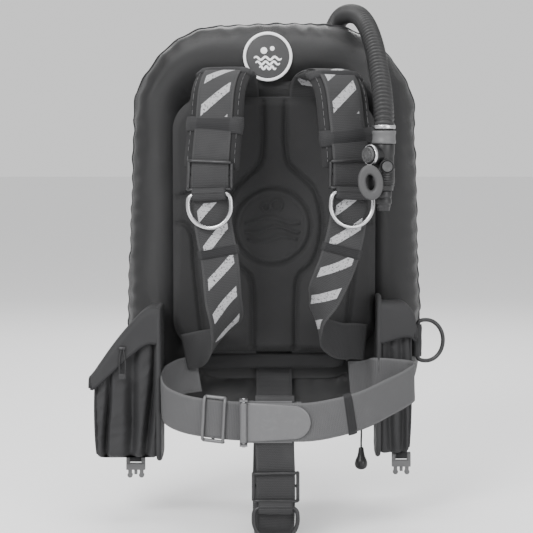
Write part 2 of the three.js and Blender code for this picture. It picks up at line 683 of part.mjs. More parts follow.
// ---- Pockets: each an open shell with a hinged flap over its top, and a hanging side-release buckle ----
// inner and outer are the ends of the top edge, in x and z, next to the belt and away from it.
const pockets = [
  { side: "left", inner: [-153.6, -112], outer: [-245, -172], front: -104, rear: -40, hangX: -190 },
  { side: "right", inner: [140.4, -100], outer: [190, -100], front: -72.8, rear: -27, hangX: 176 },
];
const flap = { thickness: 5, drop: 42, lip: 4, clearance: 0.5 };
const polygon = (rows) => new THREE.Shape(rows.map(([x, z]) => new THREE.Vector2(x, z)));
const hangers = { width: 26, thickness: 9, drop: 32, pivot: 4 };

// A tab hung from a round top edge, with a window through it.
function hangingTab(x, y, top, size) {
  const half = size.width / 2;
  const pivotZ = top - size.pivot;
  const plateHalf = size.thickness / 2 - 1;
  const body = join(
    rod([x - half, y, pivotZ], [x + half, y, pivotZ], size.pivot, size.pivot, 16),
    block([x - half, y - plateHalf, top - size.drop], [x + half, y + plateHalf, pivotZ]),
  );
  const inset = size.width * 0.22;
  const windowLo = [x - half + inset, y - 20, top - size.drop * 0.72];
  const windowHi = [x + half - inset, y + 20, pivotZ - size.pivot - 2];
  return size.window ? cut(body, block(windowLo, windowHi)) : body;
}

pockets.forEach(({ side, inner, outer, front, rear, hangX }) => {
  const depth = rear - front;
  const { wall, floor } = pocket;
  const inwards = Math.sign(outer[0] - inner[0]);
  const body = panel(polygon([inner, outer, [outer[0], floor], [inner[0], floor]]), rear, depth);
  const xs = [inner[0] + inwards * wall, outer[0] - inwards * wall];
  const hollow = polygon([
    [xs[0], inner[1] + 30],
    [xs[1], outer[1] + 30],
    [xs[1], floor + wall],
    [xs[0], floor + wall],
  ]);
  const shell = cut(body, panel(hollow, rear - wall, depth - 2 * wall));

  const lift = flap.clearance;
  const top = [inner, outer].map(([x, z]) => [x, z + lift]);
  const slab = (drop, raise) => polygon([
    ...top.map(([x, z]) => [x, z + raise]),
    ...top.map(([x, z]) => [x, z - drop]).reverse(),
  ]);
  const cover = panel(slab(0, flap.thickness), rear, depth + lift + flap.lip);
  const lip = panel(slab(flap.drop, 1), front - lift, flap.lip);
  add(side + "_pocket_flap", join(cover, lip), cordura);
  const hangY = (front + rear) / 2;
  const tab = hangingTab(hangX, hangY, floor - gap, { ...hangers, window: true });
  add(side + "_pocket_buckle", tab, greyPlastic);
  if (side === "left") {
    add("left_pocket", shell, cordura);
    const pullTop = (inner[1] + outer[1]) / 2 - 8;
    const tabSize = { width: 12, thickness: 5, drop: 44, pivot: 2.5 };
    const pullY = front - lift - flap.lip - gap - tabSize.pivot;
    add("zip_pull", hangingTab(hangX - 14, pullY, pullTop, tabSize), strapBlack);
    return;
  }

  // The hip ring swings on an upright roll of webbing on the right pocket's outer wall.
  const hipZ = -149;
  const hipX = outer[0] + ringLoop.outer - 0.8;
  const upright = (geometry) => geometry.rotateY(-Math.PI / 2).translate(hipX, hangY, hipZ);
  add("right_pocket", join(shell, upright(loopTube(ringLoop))), cordura);
  add("hip_d_ring", upright(dRingBody({ ...dRing, drop: 36 })), blackSteel);
});

export default vest;
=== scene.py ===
# Buoyancy compensator vest: the looks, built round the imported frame.
import json
import math

import bmesh
import bpy
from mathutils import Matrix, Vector, noise


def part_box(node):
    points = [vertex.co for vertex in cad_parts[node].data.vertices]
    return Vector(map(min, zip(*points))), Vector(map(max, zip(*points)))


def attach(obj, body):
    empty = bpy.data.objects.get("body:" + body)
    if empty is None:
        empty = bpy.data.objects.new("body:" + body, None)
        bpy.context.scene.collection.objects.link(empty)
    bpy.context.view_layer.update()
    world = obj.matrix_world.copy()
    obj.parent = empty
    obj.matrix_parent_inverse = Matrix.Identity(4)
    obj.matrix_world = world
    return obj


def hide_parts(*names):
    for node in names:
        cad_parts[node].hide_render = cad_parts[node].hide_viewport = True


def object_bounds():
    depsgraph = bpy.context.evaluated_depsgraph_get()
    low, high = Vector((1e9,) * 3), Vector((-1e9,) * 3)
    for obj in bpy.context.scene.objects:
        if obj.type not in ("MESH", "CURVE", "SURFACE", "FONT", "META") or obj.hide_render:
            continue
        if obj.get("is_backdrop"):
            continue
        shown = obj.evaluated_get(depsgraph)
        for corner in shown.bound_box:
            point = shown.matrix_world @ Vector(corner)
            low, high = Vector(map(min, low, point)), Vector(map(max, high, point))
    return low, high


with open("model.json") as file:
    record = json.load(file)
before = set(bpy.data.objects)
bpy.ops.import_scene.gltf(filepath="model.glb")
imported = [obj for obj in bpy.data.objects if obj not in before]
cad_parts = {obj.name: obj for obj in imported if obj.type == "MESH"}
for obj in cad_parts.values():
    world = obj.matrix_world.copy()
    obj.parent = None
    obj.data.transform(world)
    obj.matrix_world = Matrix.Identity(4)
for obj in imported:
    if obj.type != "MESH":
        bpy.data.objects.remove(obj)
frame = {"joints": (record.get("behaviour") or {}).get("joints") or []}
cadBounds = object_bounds()
mm = 0.001


def boxOf(name):
    return [Vector(corner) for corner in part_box(name)]


# Camera: level with the chest, a long lens, square to the vest and a little above its middle.
camera = {"distance": 2.2, "lens": 105, "elevation": 4.2, "aim": (-0.0107, 0.014, -0.0518)}
cameraData = bpy.data.cameras.new("camera")
cameraData.lens = camera["lens"]
cameraObject = bpy.data.objects.new("camera", cameraData)
bpy.context.scene.collection.objects.link(cameraObject)
tilt = math.radians(camera["elevation"])
away = Vector((0, -math.cos(tilt), math.sin(tilt)))
cameraObject.location = Vector(camera["aim"]) + away * camera["distance"]
cameraObject.rotation_euler = (-away).to_track_quat("-Z", "Y").to_euler()
bpy.context.scene.camera = cameraObject


# Shader maths: an expression on values adds its Math nodes.
class Value:
    def __init__(self, nodeTree, socket):
        self.tree = nodeTree
        self.socket = socket

    def calc(self, operation, *others):
        node = self.tree.nodes.new("ShaderNodeMath")
        node.operation = operation
        for slot, value in zip(node.inputs, (self, *others)):
            if isinstance(value, Value):
                self.tree.links.new(value.socket, slot)
            else:
                slot.default_value = value
        return Value(self.tree, node.outputs[0])

    def __rsub__(self, other):
        return (self * -1) + other

    def clamp(self):
        return self.calc("MINIMUM", 1).calc("MAXIMUM", 0)


for method, operation in (
        ("__add__", "ADD"), ("__radd__", "ADD"), ("__sub__", "SUBTRACT"), ("__mul__", "MULTIPLY"),
        ("__rmul__", "MULTIPLY"), ("__truediv__", "DIVIDE"), ("__lt__", "LESS_THAN"),
        ("__gt__", "GREATER_THAN"), ("abs", "ABSOLUTE"), ("sin", "SINE"), ("part", "FRACT"),
        ("most", "MAXIMUM")):
    setattr(Value, method, lambda self, *others, kind=operation: self.calc(kind, *others))


# One material: fixed numbers go on the shader's own sockets, patterns only where they vary.
class Finish:
    def __init__(self, name, colour, roughness, metallic=0.0, sheen=0.0, coat=0.0, specular=0.5):
        self.material = bpy.data.materials.new(name)
        self.material.use_nodes = True
        self.tree = self.material.node_tree
        self.shader = self.tree.nodes["Principled BSDF"]
        self.colour = (*colour, 1)
        fixed = {"Base Color": self.colour, "Roughness": roughness, "Metallic": metallic,
                 "Sheen Weight": sheen, "Sheen Roughness": 0.4, "Coat Weight": coat,
                 "Coat Roughness": 0.2, "Specular IOR Level": specular}
        for socket, value in fixed.items():
            self.shader.inputs[socket].default_value = value
        self.base = None
        self.normal = None

    def node(self, kind, settings=(), sockets=()):
        made = self.tree.nodes.new(kind)
        for key, value in dict(settings).items():
            setattr(made, key, value)
        for key, value in dict(sockets).items():
            if isinstance(value, (Value, bpy.types.NodeSocket)):
                source = value.socket if isinstance(value, Value) else value
                self.tree.links.new(source, made.inputs[key])
            else:
                made.inputs[key].default_value = value
        return made

    def place(self):  # x, y and z in metres on the object
        coords = self.node("ShaderNodeTexCoord").outputs["Object"]
        split = self.node("ShaderNodeSeparateXYZ", sockets={0: coords})
        return [Value(self.tree, split.outputs[i]) for i in range(3)]

    def along(self):  # across and along a strap, in metres
        coords = self.node("ShaderNodeUVMap", {"uv_map": "strap"}).outputs[0]
        split = self.node("ShaderNodeSeparateXYZ", sockets={0: coords})
        return [Value(self.tree, split.outputs[i]) for i in range(2)]

    def noise(self, scale, detail=3.0, rough=0.5):
        coords = self.node("ShaderNodeTexCoord").outputs["Object"]
        sockets = {"Vector": coords, "Scale": scale, "Detail": detail, "Roughness": rough}
        return Value(self.tree, self.node("ShaderNodeTexNoise", sockets=sockets).outputs[0])

    def tint(self, mask, colour):  # lays a colour over what is there, by a mask
        below = self.base if self.base else self.colour
        mix = self.node("ShaderNodeMix", {"data_type": "RGBA"}, {0: mask, 6: below, 7: (*colour, 1)})
        self.base = mix.outputs[2]
        self.tree.links.new(self.base, self.shader.inputs["Base Color"])

    def rough(self, value):
        self.tree.links.new(value.socket, self.shader.inputs["Roughness"])

    def bump(self, height, distance, strength=1.0):
        sockets = {"Height": height, "Distance": distance, "Strength": strength}
        if self.normal:
            sockets["Normal"] = self.normal
        self.normal = self.node("ShaderNodeBump", sockets=sockets).outputs[0]
        self.tree.links.new(self.normal, self.shader.inputs["Normal"])


turn = 2 * math.pi


def wovenNylon(name, colour, weave=0.0011, gloss=0.42, worn=(0.013, 0.013, 0.0135), specular=0.35):
    finish = Finish(name, colour, gloss, sheen=0.02, specular=specular)
    x, y, z = finish.place()
    warp = ((x + y * 0.7) * (turn / weave)).sin()
    weft = ((z + y * 0.4) * (turn / weave)).sin()
    finish.bump(finish.noise(38, 4), 0.0022, 0.35)
    finish.bump(warp * weft, 0.00022, 0.55)
    patchy = finish.noise(9, 5)
    finish.tint(((patchy - 0.45) * 1.6).clamp() * 0.55, worn)
    finish.tint(((warp * weft) * 0.5 + 0.5) * 0.25, worn)
    finish.rough(finish.noise(14, 3) * 0.28 + (gloss - 0.14))
    return finish.material


def strapWebbing(name, colour, light, printed=(), printColour=(0.38, 0.38, 0.39)):
    finish = Finish(name, colour, 0.72, sheen=0.03, specular=0.2)
    across, length = finish.along()
    ribs = (length * (turn / 0.0022) + ((across * (turn / 0.0030)).sin() * 1.2)).sin()
    yarns = (across * (turn / 0.0015)).sin()
    finish.bump(ribs * 0.7 + yarns * 0.3, 0.0003, 0.8)
    finish.tint((ribs * 0.5 + 0.5) * 0.45, light)
    edge = across.abs() > 0.0225
    finish.tint(edge * 0.35, light)
    finish.tint(((finish.noise(26, 5) - 0.5) * 2).clamp() * 0.4, light)
    if printed:  # rows of bold slashes and dots, rubbed thin in places
        inside = (length > printed[0][0]) * (length < printed[0][1])
        for start, end in printed[1:]:
            inside = inside.most((length > start) * (length < end))
        inside = inside * (across.abs() < 0.0185)
        slash = (((length + across * 0.9) / 0.046).part() - 0.5).abs() < 0.17
        dotCell = ((length + 0.004) / 0.046).part() - 0.5
        dot = (dotCell * dotCell * 2.1 + (across / 0.046) * (across / 0.046)) < 0.0045
        rubbed = ((finish.noise(420, 2) - 0.30) * 7).clamp()
        mask = inside * slash.most(dot) * rubbed * (ribs * 0.15 + 0.85)
        finish.tint(mask, printColour)
    return finish.material


def foamCloth(name, colour, light=(0.045, 0.045, 0.046)):
    finish = Finish(name, colour, 0.86, sheen=0.03, specular=0.15)
    x, y, z = finish.place()
    knit = (x * (turn / 0.0026)).sin() * ((z + y) * (turn / 0.0026)).sin()
    finish.bump(finish.noise(60, 4), 0.0012, 0.3)
    finish.bump(knit, 0.0003, 0.7)
    finish.tint((knit * 0.5 + 0.5) * 0.3, light)
    finish.tint(((finish.noise(7, 5) - 0.42) * 2).clamp() * 0.45, light)
    return finish.material


def mouldedPlastic(name, colour, gloss=0.42, light=None):
    finish = Finish(name, colour, gloss, specular=0.4)
    grain = finish.noise(900, 2)
    finish.bump(grain, 0.00012, 0.6)
    light = light or tuple(c * 1.8 + 0.02 for c in colour)
    finish.tint(((finish.noise(30, 5) - 0.5) * 2).clamp() * 0.35, light)
    finish.rough(finish.noise(45, 3) * 0.25 + (gloss - 0.1))
    return finish.material


def metal(name, colour, gloss, worn, metallic=1.0):
    finish = Finish(name, colour, gloss, metallic)
    scratches = finish.noise(140, 6, 0.7)
    finish.bump(scratches, 0.00006, 0.5)
    finish.tint(((scratches - 0.5) * 3).clamp() * 0.25, worn)
    finish.rough(finish.noise(60, 4) * 0.3 + (gloss - 0.12))
    return finish.material


cordura = wovenNylon("cordura", (0.0055, 0.0055, 0.006), gloss=0.34)
pocketCloth = wovenNylon("pocket_cloth", (0.020, 0.020, 0.021), 0.0014, 0.6, (0.050, 0.050, 0.051), 0.2)
padCloth = foamCloth("pad_cloth", (0.021, 0.021, 0.0215))
shoulderCloth = foamCloth("shoulder_cloth", (0.014, 0.014, 0.0145))
harnessWeb = strapWebbing("harness_webbing", (0.022, 0.022, 0.023), (0.060, 0.060, 0.061),
                          ((0.07, 0.232), (0.345, 0.54)))
beltWeb = strapWebbing("belt_webbing", (0.058, 0.058, 0.060), (0.12, 0.12, 0.122))
plainWeb = strapWebbing("plain_webbing", (0.020, 0.020, 0.021), (0.055, 0.055, 0.056))
keeperWeb = strapWebbing("keeper_webbing", (0.011, 0.011, 0.012), (0.035, 0.035, 0.036))
hoseRubber = mouldedPlastic("hose_rubber", (0.016, 0.016, 0.0165), 0.46, (0.04, 0.04, 0.041))
lipRubber = mouldedPlastic("lip_rubber", (0.045, 0.045, 0.046), 0.55, (0.07, 0.07, 0.071))
blackPlastic = mouldedPlastic("black_plastic", (0.007, 0.007, 0.0075), 0.36)
greyPlastic = mouldedPlastic("grey_plastic", (0.085, 0.085, 0.087), 0.45)
capPlastic = mouldedPlastic("cap_plastic", (0.045, 0.045, 0.046), 0.4)
polishedSteel = metal("polished_steel", (0.50, 0.50, 0.51), 0.24, (0.3, 0.3, 0.31))
blackSteel = metal("black_steel", (0.03, 0.03, 0.031), 0.4, (0.12, 0.12, 0.122), 0.6)
buckleSteel = metal("buckle_steel", (0.12, 0.12, 0.123), 0.45, (0.2, 0.2, 0.203), 0.6)
badgeGrey = mouldedPlastic("badge_grey", (0.035, 0.035, 0.036), 0.5)
badgeWhite = mouldedPlastic("badge_white", (0.78, 0.78, 0.79), 0.5, (0.9, 0.9, 0.9))
print("materials made")


# Mesh tools
def piece(name, verts, faces, material, body, stands=(), uvs=None, smooth=True):
    mesh = bpy.data.meshes.new(name)
    mesh.from_pydata([tuple(v) for v in verts], [], faces)
    mesh.materials.append(material)
    if uvs:
        layer = mesh.uv_layers.new(name="strap")
        for loop in mesh.loops:
            layer.data[loop.index].uv = uvs[loop.vertex_index]
    work = bmesh.new()
    work.from_mesh(mesh)
    bmesh.ops.recalc_face_normals(work, faces=work.faces)
    work.to_mesh(mesh)
    work.free()
    for polygon in mesh.polygons:
        polygon.use_smooth = smooth
    made = bpy.data.objects.new(name, mesh)
    bpy.context.scene.collection.objects.link(made)
    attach(made, body)
    if stands:
        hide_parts(*stands)
    return made


def bevelled(made, width, segments, angle):
    bevel = made.modifiers.new("bevel", "BEVEL")
    bevel.width = width
    bevel.segments = segments
    bevel.limit_method = "ANGLE"
    bevel.angle_limit = math.radians(angle)
    return made


# Quads between rings of points; closed rings unless open, capped at the ends when asked.
def skin(rings, closedAlong=False, caps=True):
    count = len(rings[0])
    verts = [point for ring in rings for point in ring]
    faces = []
    last = len(rings) if closedAlong else len(rings) - 1
    for i in range(last):
        a, b = i * count, ((i + 1) % len(rings)) * count
        for j in range(count):
            k = (j + 1) % count
            faces.append((a + j, a + k, b + k, b + j))
    if caps and not closedAlong:
        faces.append(tuple(range(count)))
        faces.append(tuple(reversed(range(len(verts) - count, len(verts)))))
    return verts, faces


def smoothPath(points, closed=False):  # dense points on a centripetal Catmull-Rom curve
    points = [Vector(p) for p in points]
    if closed:
        points = [points[-1]] + points + points[:2]
    else:
        points = [points[0] * 2 - points[1]] + points + [points[-1] * 2 - points[-2]]
    dense = []
    for a, b, c, d in zip(points, points[1:], points[2:], points[3:]):
        knots = [0]
        for p, q in ((a, b), (b, c), (c, d)):
            knots.append(knots[-1] + max((q - p).length, 1e-6) ** 0.5)
        t0, t1, t2, t3 = knots
        for i in range(24):
            t = t1 + (t2 - t1) * i / 24
            ab = a.lerp(b, (t - t0) / (t1 - t0))
            bc = b.lerp(c, (t - t1) / (t2 - t1))
            cd = c.lerp(d, (t - t2) / (t3 - t2))
            dense.append(ab.lerp(bc, (t - t0) / (t2 - t0)).lerp(
                bc.lerp(cd, (t - t1) / (t3 - t1)), (t - t1) / (t2 - t1)))
    if not closed:
        dense.append(points[-2])
    return dense


# A line's length, and where each even step falls on it: the span, the share of it, the length so far.
def spacing(dense, step):
    lengths = [0]
    for a, b in zip(dense, dense[1:]):
        lengths.append(lengths[-1] + (b - a).length)
    count = max(2, round(lengths[-1] / step))
    spots, j = [], 0
    for i in range(count + 1):
        goal = lengths[-1] * i / count
        while j < len(lengths) - 2 and lengths[j + 1] < goal:
            j += 1
        span = max(lengths[j + 1] - lengths[j], 1e-9)
        spots.append((j, min(1, (goal - lengths[j]) / span), goal))
    return spots, lengths[-1]


def evenly(dense, step):
    spots, total = spacing(dense, step)
    return [dense[j].lerp(dense[j + 1], share) for j, share, goal in spots], total


# A strap's route: points with the direction of the width at each. Layers laid on it share its frames.
class Route:
    def __init__(self, rows, step=0.003):
        places = smoothPath([Vector(p) * mm for p, w in rows])
        widths = smoothPath([Vector(w) for p, w in rows])
        spots, self.length = spacing(places, step)
        self.frames = []
        for j, share, goal in spots:
            place = places[j].lerp(places[j + 1], share)
            ahead = (places[min(j + 2, len(places) - 1)] - places[max(j - 1, 0)]).normalized()
            width = widths[j].lerp(widths[j + 1], share)
            width = (width - ahead * width.dot(ahead)).normalized()
            self.frames.append((place, ahead, width, ahead.cross(width), goal))

    def at(self, share):
        return self.frames[max(0, min(len(self.frames) - 1, round(share * (len(self.frames) - 1))))]

    # A band of a width between two heights off the line, from one share of the length to another.
    def band(self, width, low, high, start=0.0, end=1.0, crown=0.0, wave=0.0):
        first = round(start * (len(self.frames) - 1))
        last = round(end * (len(self.frames) - 1))
        rings, uvs = [], []
        columns = 10
        for n, (place, ahead, side, out, length) in enumerate(self.frames[first : last + 1]):
            ease = 1.0
            if crown:
                near = min(n, last - first - n) * self.length / len(self.frames)
                ease = min(1, 0.55 + 0.45 * math.sin(min(1, near / 0.014) * math.pi / 2))
            middle = (low + high) / 2
            ring = []
            for row, height in ((0, low), (1, high)):
                steps = range(columns + 1) if row == 0 else range(columns, -1, -1)
                for c in steps:
                    u = c / columns * 2 - 1
                    edge = abs(u) ** 8
                    rise = (height - middle) * ease * (1 - edge * (0.75 if crown else 0.35))
                    rise += crown * ease * (1 - u * u) * (1 if row else -1)
                    rise += middle + wave * math.sin(length * 61 + u * 2)
                    x = u * width / 2 * (1 if not crown else (0.96 + 0.04 * ease))
                    ring.append(place + side * x + out * rise)
                    uvs.append((x, length))
            rings.append(ring)
        verts, faces = skin(rings)
        return verts, faces, uvs


def tube(points, radiusAt, closed=False, sides=20, step=0.003):
    line, total = evenly(smoothPath(points, closed), step)
    if closed:
        line = line[:-1]
    rings = []
    normal = None
    for i, place in enumerate(line):
        ahead = line[(i + 1) % len(line)] - line[i - 1] if closed else (
            line[min(i + 1, len(line) - 1)] - line[max(i - 1, 0)])
        ahead.normalize()
        if normal is None:
            normal = ahead.orthogonal().normalized()
        normal = (normal - ahead * normal.dot(ahead)).normalized()
        other = ahead.cross(normal)
        radius = radiusAt(i / len(line), total * i / len(line))
        rings.append([place + (normal * math.cos(a) + other * math.sin(a)) * radius
                      for a in (turn * k / sides for k in range(sides))])
    return (*skin(rings, closedAlong=closed), line)


# Air cell: an inflated ring of fabric, gathered along its outer and inner seams
wing = {"corner": 0.074, "along": 460, "around": 72, "gather": 0.024, "pucker": 0.0013,
        "crease": 0.0030, "taper": 0.045, "droop": 0.013}
frontLo, frontHi = boxOf("wing_front_shell")
rearHi = boxOf("wing_rear_shell")[1]
halfTube = 0.047
halfDepth = (rearHi.y - frontLo.y) / 2
wingY = (rearHi.y + frontLo.y) / 2
lineX = frontHi.x - halfTube
lineZ = frontHi.z - halfTube


def roundedLoop(halfX, halfZ, radius, count):  # points with outward directions, anticlockwise
    straightX, straightZ, arc = 2 * (halfX - radius), 2 * (halfZ - radius), radius * math.pi / 2
    total = 2 * (straightX + straightZ) + 4 * arc
    result = []
    for i in range(count):
        s = total * i / count
        x, z, angle = halfX, -(halfZ - radius), 0.0
        for straight in (straightZ, straightX, straightZ, straightX):
            ahead = Vector((-math.sin(angle), math.cos(angle)))
            if s < straight:
                point = Vector((x, z)) + ahead * s
                result.append((point, Vector((math.cos(angle), math.sin(angle)))))
                break
            s -= straight
            corner = Vector((x, z)) + ahead * straight
            pivot = corner - Vector((math.cos(angle), math.sin(angle))) * radius
            if s < arc:
                swing = angle + s / radius
                out = Vector((math.cos(swing), math.sin(swing)))
                result.append((pivot + out * radius, out))
                break
            s -= arc
            angle += math.pi / 2
            out = Vector((math.cos(angle), math.sin(angle)))
            x, z = pivot + out * radius
    return result, total


def wingSection(length, angle):  # the tube's radius, as a share of its plain one
    seam = abs(math.cos(angle))
    shift = noise.noise(Vector((length * 9, 0, 4))) * 1.6
    phase = length / wing["gather"] * math.pi + shift
    outer = max(0.0, math.cos(angle)) ** 5
    inner = max(0.0, -math.cos(angle)) ** 4
    ridge = abs(math.sin(phase)) ** 0.35
    radius = 1 - (outer + 0.7 * inner) * wing["pucker"] * (1 - ridge) / halfTube
    fold = (math.sin(phase * 2 + math.sin(angle * 2) * 0.8) * max(0.0, seam - 0.35) ** 1.3
            * (1 - seam ** 8 * 0.6))
    wide = noise.noise(Vector((length * 16, math.sin(angle) * 2.2, math.cos(angle) * 1.2)))
    fine = noise.noise(Vector((length * 46, math.sin(angle) * 3.5, 8)))
    radius += (fold * wing["crease"] + wide * 0.0024 + fine * 0.0009 * seam) / halfTube
    return radius


def drawnIn(place, outward):  # the outer edge leans in towards the top, and slopes down to the corners
    rise = max(0.0, min(1.0, (place.z + 0.10) / 0.25))
    high = max(0.0, min(1.0, (place.z - 0.13) / 0.10))
    aside = max(0.0, min(1.0, (abs(place.x) - 0.04) / 0.15)) ** 1.5
    return Vector((-place.x * wing["taper"] * rise, 0, -wing["droop"] * high * aside)) * outward ** 0.7


def makeWing():
    loop, total = roundedLoop(lineX, lineZ, wing["corner"], wing["along"])
    rings = []
    for i, (point, out) in enumerate(loop):
        ring = []
        for k in range(wing["around"]):
            angle = turn * k / wing["around"]
            scale = wingSection(total * i / wing["along"], angle)
            flat = math.copysign(abs(math.cos(angle)) ** 1.04, math.cos(angle)) * halfTube * scale
            deep = math.sin(angle) * halfDepth * (scale * 0.5 + 0.5)
            place = Vector((point.x + out.x * flat, wingY - deep, point.y + out.y * flat))
            ring.append(place + drawnIn(place, max(0.0, math.cos(angle))))
        rings.append(ring)
    verts, faces = skin(rings, closedAlong=True)
    stands = ("wing_front_shell", "wing_rear_shell", "wing_bladder")
    piece("wing_cover", verts, faces, cordura, "harness", stands)
    edge = [ring[0] for ring in rings]
    bead, beadFaces = tube(edge, lambda t, s: 0.0017, closed=True, sides=8, step=0.004)[:2]
    piece("wing_seam", bead, beadFaces, keeperWeb, "harness", ())


makeWing()
print("air cell made")

# Back pad: moulded foam with sunk channels and a round emblem
pad = {"corner": 0.046, "rings": 110, "columns": 520, "roll": 0.013, "depth": 0.0064, "channel": 0.0036,
       "emblem": (-0.0025, 0.008), "emblemRadius": 0.044, "emblemGroove": 0.0525}
padLo, padHi = boxOf("back_pad")
spine = [(0.016, 0.186), (0.0155, 0.12), (0.020, 0.094), (0.038, 0.076), (0.054, 0.060), (0.064, 0.030),
         (0.064, -0.010), (0.052, -0.044), (0.034, -0.062), (0.030, -0.090), (0.030, -0.168)]
bolster = [(0.140, 0.012), (0.122, 0.010), (0.113, -0.004), (0.110, -0.040), (0.104, -0.100), (0.096, -0.168)]
shoulderLine = [(0.060, 0.186), (0.070, 0.130), (0.092, 0.084), (0.112, 0.056), (0.141, 0.046)]
channels = []
for side in (-1, 1):
    for row in (spine, bolster, shoulderLine):
        line = smoothPath([(side * x, z, 0) for x, z in row])[::6]
        channels.append([Vector((p.x, p.y)) for p in line])


def toSegment(point, a, b):
    ab = b - a
    share = max(0, min(1, (point - a).dot(ab) / max(ab.length_squared, 1e-12)))
    return (point - a - ab * share).length


def emblemHeight(x, z):  # three waves under two bubbles, raised a little on a sunk disc
    r = math.hypot(x, z)
    if r > pad["emblemRadius"]:
        return 0.0
    height = -0.0012
    for n, base in enumerate((-0.018, -0.005, 0.008)):
        wave = base + 0.0042 * math.sin(x / 0.0105 + n)
        if r < pad["emblemRadius"] * 0.86:
            height += 0.0036 * math.exp(-(((z - wave) / 0.0022) ** 2))
    for bx, bz, size in ((-0.009, 0.026, 0.0055), (0.006, 0.029, 0.0075)):
        gapTo = abs(math.hypot(x - bx, z - bz) - size)
        height += 0.0036 * math.exp(-((gapTo / 0.0017) ** 2))
    return height


def padHeight(x, z):  # how far the pad's face stands out there
    point = Vector((x, z))
    height = 0.0
    for line in channels:
        near = min((point - p).length for p in line[::3])
        if near > 0.035:
            continue
        distance = min(toSegment(point, a, b) for a, b in zip(line, line[1:]))
        height -= pad["depth"] * math.exp(-((distance / pad["channel"]) ** 2))
        height -= 0.0016 * math.exp(-((distance / 0.012) ** 2))
    ex, ez = x - pad["emblem"][0], z - pad["emblem"][1]
    ringGap = abs(math.hypot(ex, ez) - pad["emblemGroove"])
    height -= 0.0050 * math.exp(-((ringGap / 0.0026) ** 2))
    height += emblemHeight(ex, ez)
    height += 0.0012 * noise.noise(Vector((x * 18, z * 18, 2)))
    return height


def makeBackPad():
    centreX, centreZ = (padLo.x + padHi.x) / 2, (padLo.z + padHi.z) / 2
    halfX, halfZ = (padHi.x - padLo.x) / 2, (padHi.z - padLo.z) / 2
    outline = roundedLoop(halfX, halfZ, pad["corner"], pad["columns"])[0]
    rings = []
    for y, inset in ((padHi.y, 0.006), (padHi.y - 0.004, 0.001), (padHi.y - 0.010, 0.0)):
        rings.append([Vector((centreX + p.x - o.x * inset, y, centreZ + p.y - o.y * inset))
                      for p, o in outline])
    for n in range(pad["rings"]):
        share = (n / (pad["rings"] - 1)) ** 1.25
        ring = []
        for p, out in outline:
            q = p * (1 - share)
            inset = (p - q).length
            roll = pad["roll"] * (1 - min(1, inset / pad["roll"])) ** 2 if inset < pad["roll"] else 0
            height = padHeight(centreX + q.x, centreZ + q.y) * min(1, inset / 0.006)
            ring.append(Vector((centreX + q.x, padLo.y + roll - height - 0.0005, centreZ + q.y)))
        rings.append(ring)
    verts, faces = skin(rings)
    made = piece("back_pad_cover", verts, faces, padCloth, "harness", ("back_pad",))


makeBackPad()
print("back pad made")

# Shoulder harness
up, onX = (0, 0, 1), (1, 0, 0)
slotRows = [(-15.55, 132), (-15.55, 156), (-15.55, 178)]
archRows = [(-16.6, 192), (-21, 204), (-34, 214), (-62, 220), (-96, 217), (-122, 194), (-135, 150)]


def shoulderTop(side, lean):
    rows = [((side * 46, y, z), onX) for y, z in slotRows]
    for i, (y, z) in enumerate(archRows):
        rows.append(((side * 46 + lean * (-15.55 - y), y, z), (1, lean * min(1, i / 3), 0)))
    return rows


leftRows = shoulderTop(-1, -0.283) + [
    ((-84, -139, 100), (1, -0.2, 0)), ((-85, -140, 55), (1, -0.1, 0)), ((-80, -138, 10), (1, 0, -0.1)),
    ((-72, -134, -35), (1, 0.1, -0.15)), ((-68, -126, -85), (1, 0.25, -0.1)),
    ((-64, -108, -118), (1, 0.7, 0.1)), ((-72, -84, -142), (0.7, 0.9, 0.7)),
    ((-90, -66, -154), (0.3, 0.4, 1)), ((-108, -52.1, -162), (0, 0.1, 1)), ((-124, -46.4, -166), up)]
rightRows = shoulderTop(1, 0.408) + [
    ((100, -138, 100), (1, 0.3, 0)), ((100, -138, 55), (1, 0.2, 0)), ((95, -136, 10), (1, 0.1, 0.15)),
    ((84, -130, -35), (1, -0.1, 0.25)), ((66, -120, -80), (0.8, -0.5, 0.3)),
    ((56, -104, -112), (0.3, -1, -0.1)), ((66, -84, -134), (-0.2, -0.8, -0.8)),
    ((90, -66, -148), (-0.1, -0.2, -1)), ((110, -52.1, -150), (0, 0, -1)), ((126, -46.4, -152), (0, 0, -1))]
joints = {joint["name"]: joint for joint in frame["joints"]}


def ringShape(inside, drop, wire):  # a D hanging from its straight side, which lies along x
    half = (inside + wire) / 2
    points = [(-half + 9, 0), (0, 0), (half - 9, 0)]
    points += [(half - 9 + 9 * math.sin(a), 9 * math.cos(a) - 9) for a in (0.5, 1.05)]
    points += [(half * math.cos(a), -0.35 * drop + 0.65 * drop * math.sin(a))
               for a in (-math.pi * k / 14 for k in range(0, 15))]
    points += [(-half + 9 - 9 * math.sin(a), 9 * math.cos(a) - 9) for a in (1.05, 0.5)]
    return [Vector((x, 0, z)) * mm for x, z in points]


ringWire = {"inside": 51.4, "thickness": 5.2, "drop": 44, "hipDrop": 36, "radius": 0.0028}


def dRing(name, node, body, place, side, material, hang=Vector((0, 0, 1)), drop=ringWire["drop"]):
    side = side.normalized()
    upwards = (hang - side * hang.dot(side)).normalized()
    points = [place + side * p.x + upwards * p.z
              for p in ringShape(ringWire["inside"], drop, ringWire["thickness"])]
    verts, faces = tube(points, lambda t, s: ringWire["radius"], closed=True, sides=16, step=0.0022)[:2]
    piece(name, verts, faces, material, body, (node,))


def band(name, route, settings, material, stands=(), slotName=None, body="harness", **more):
    verts, faces, uvs = route.band(*settings, **more)
    return piece(name, verts, faces, material, body, stands, uvs)


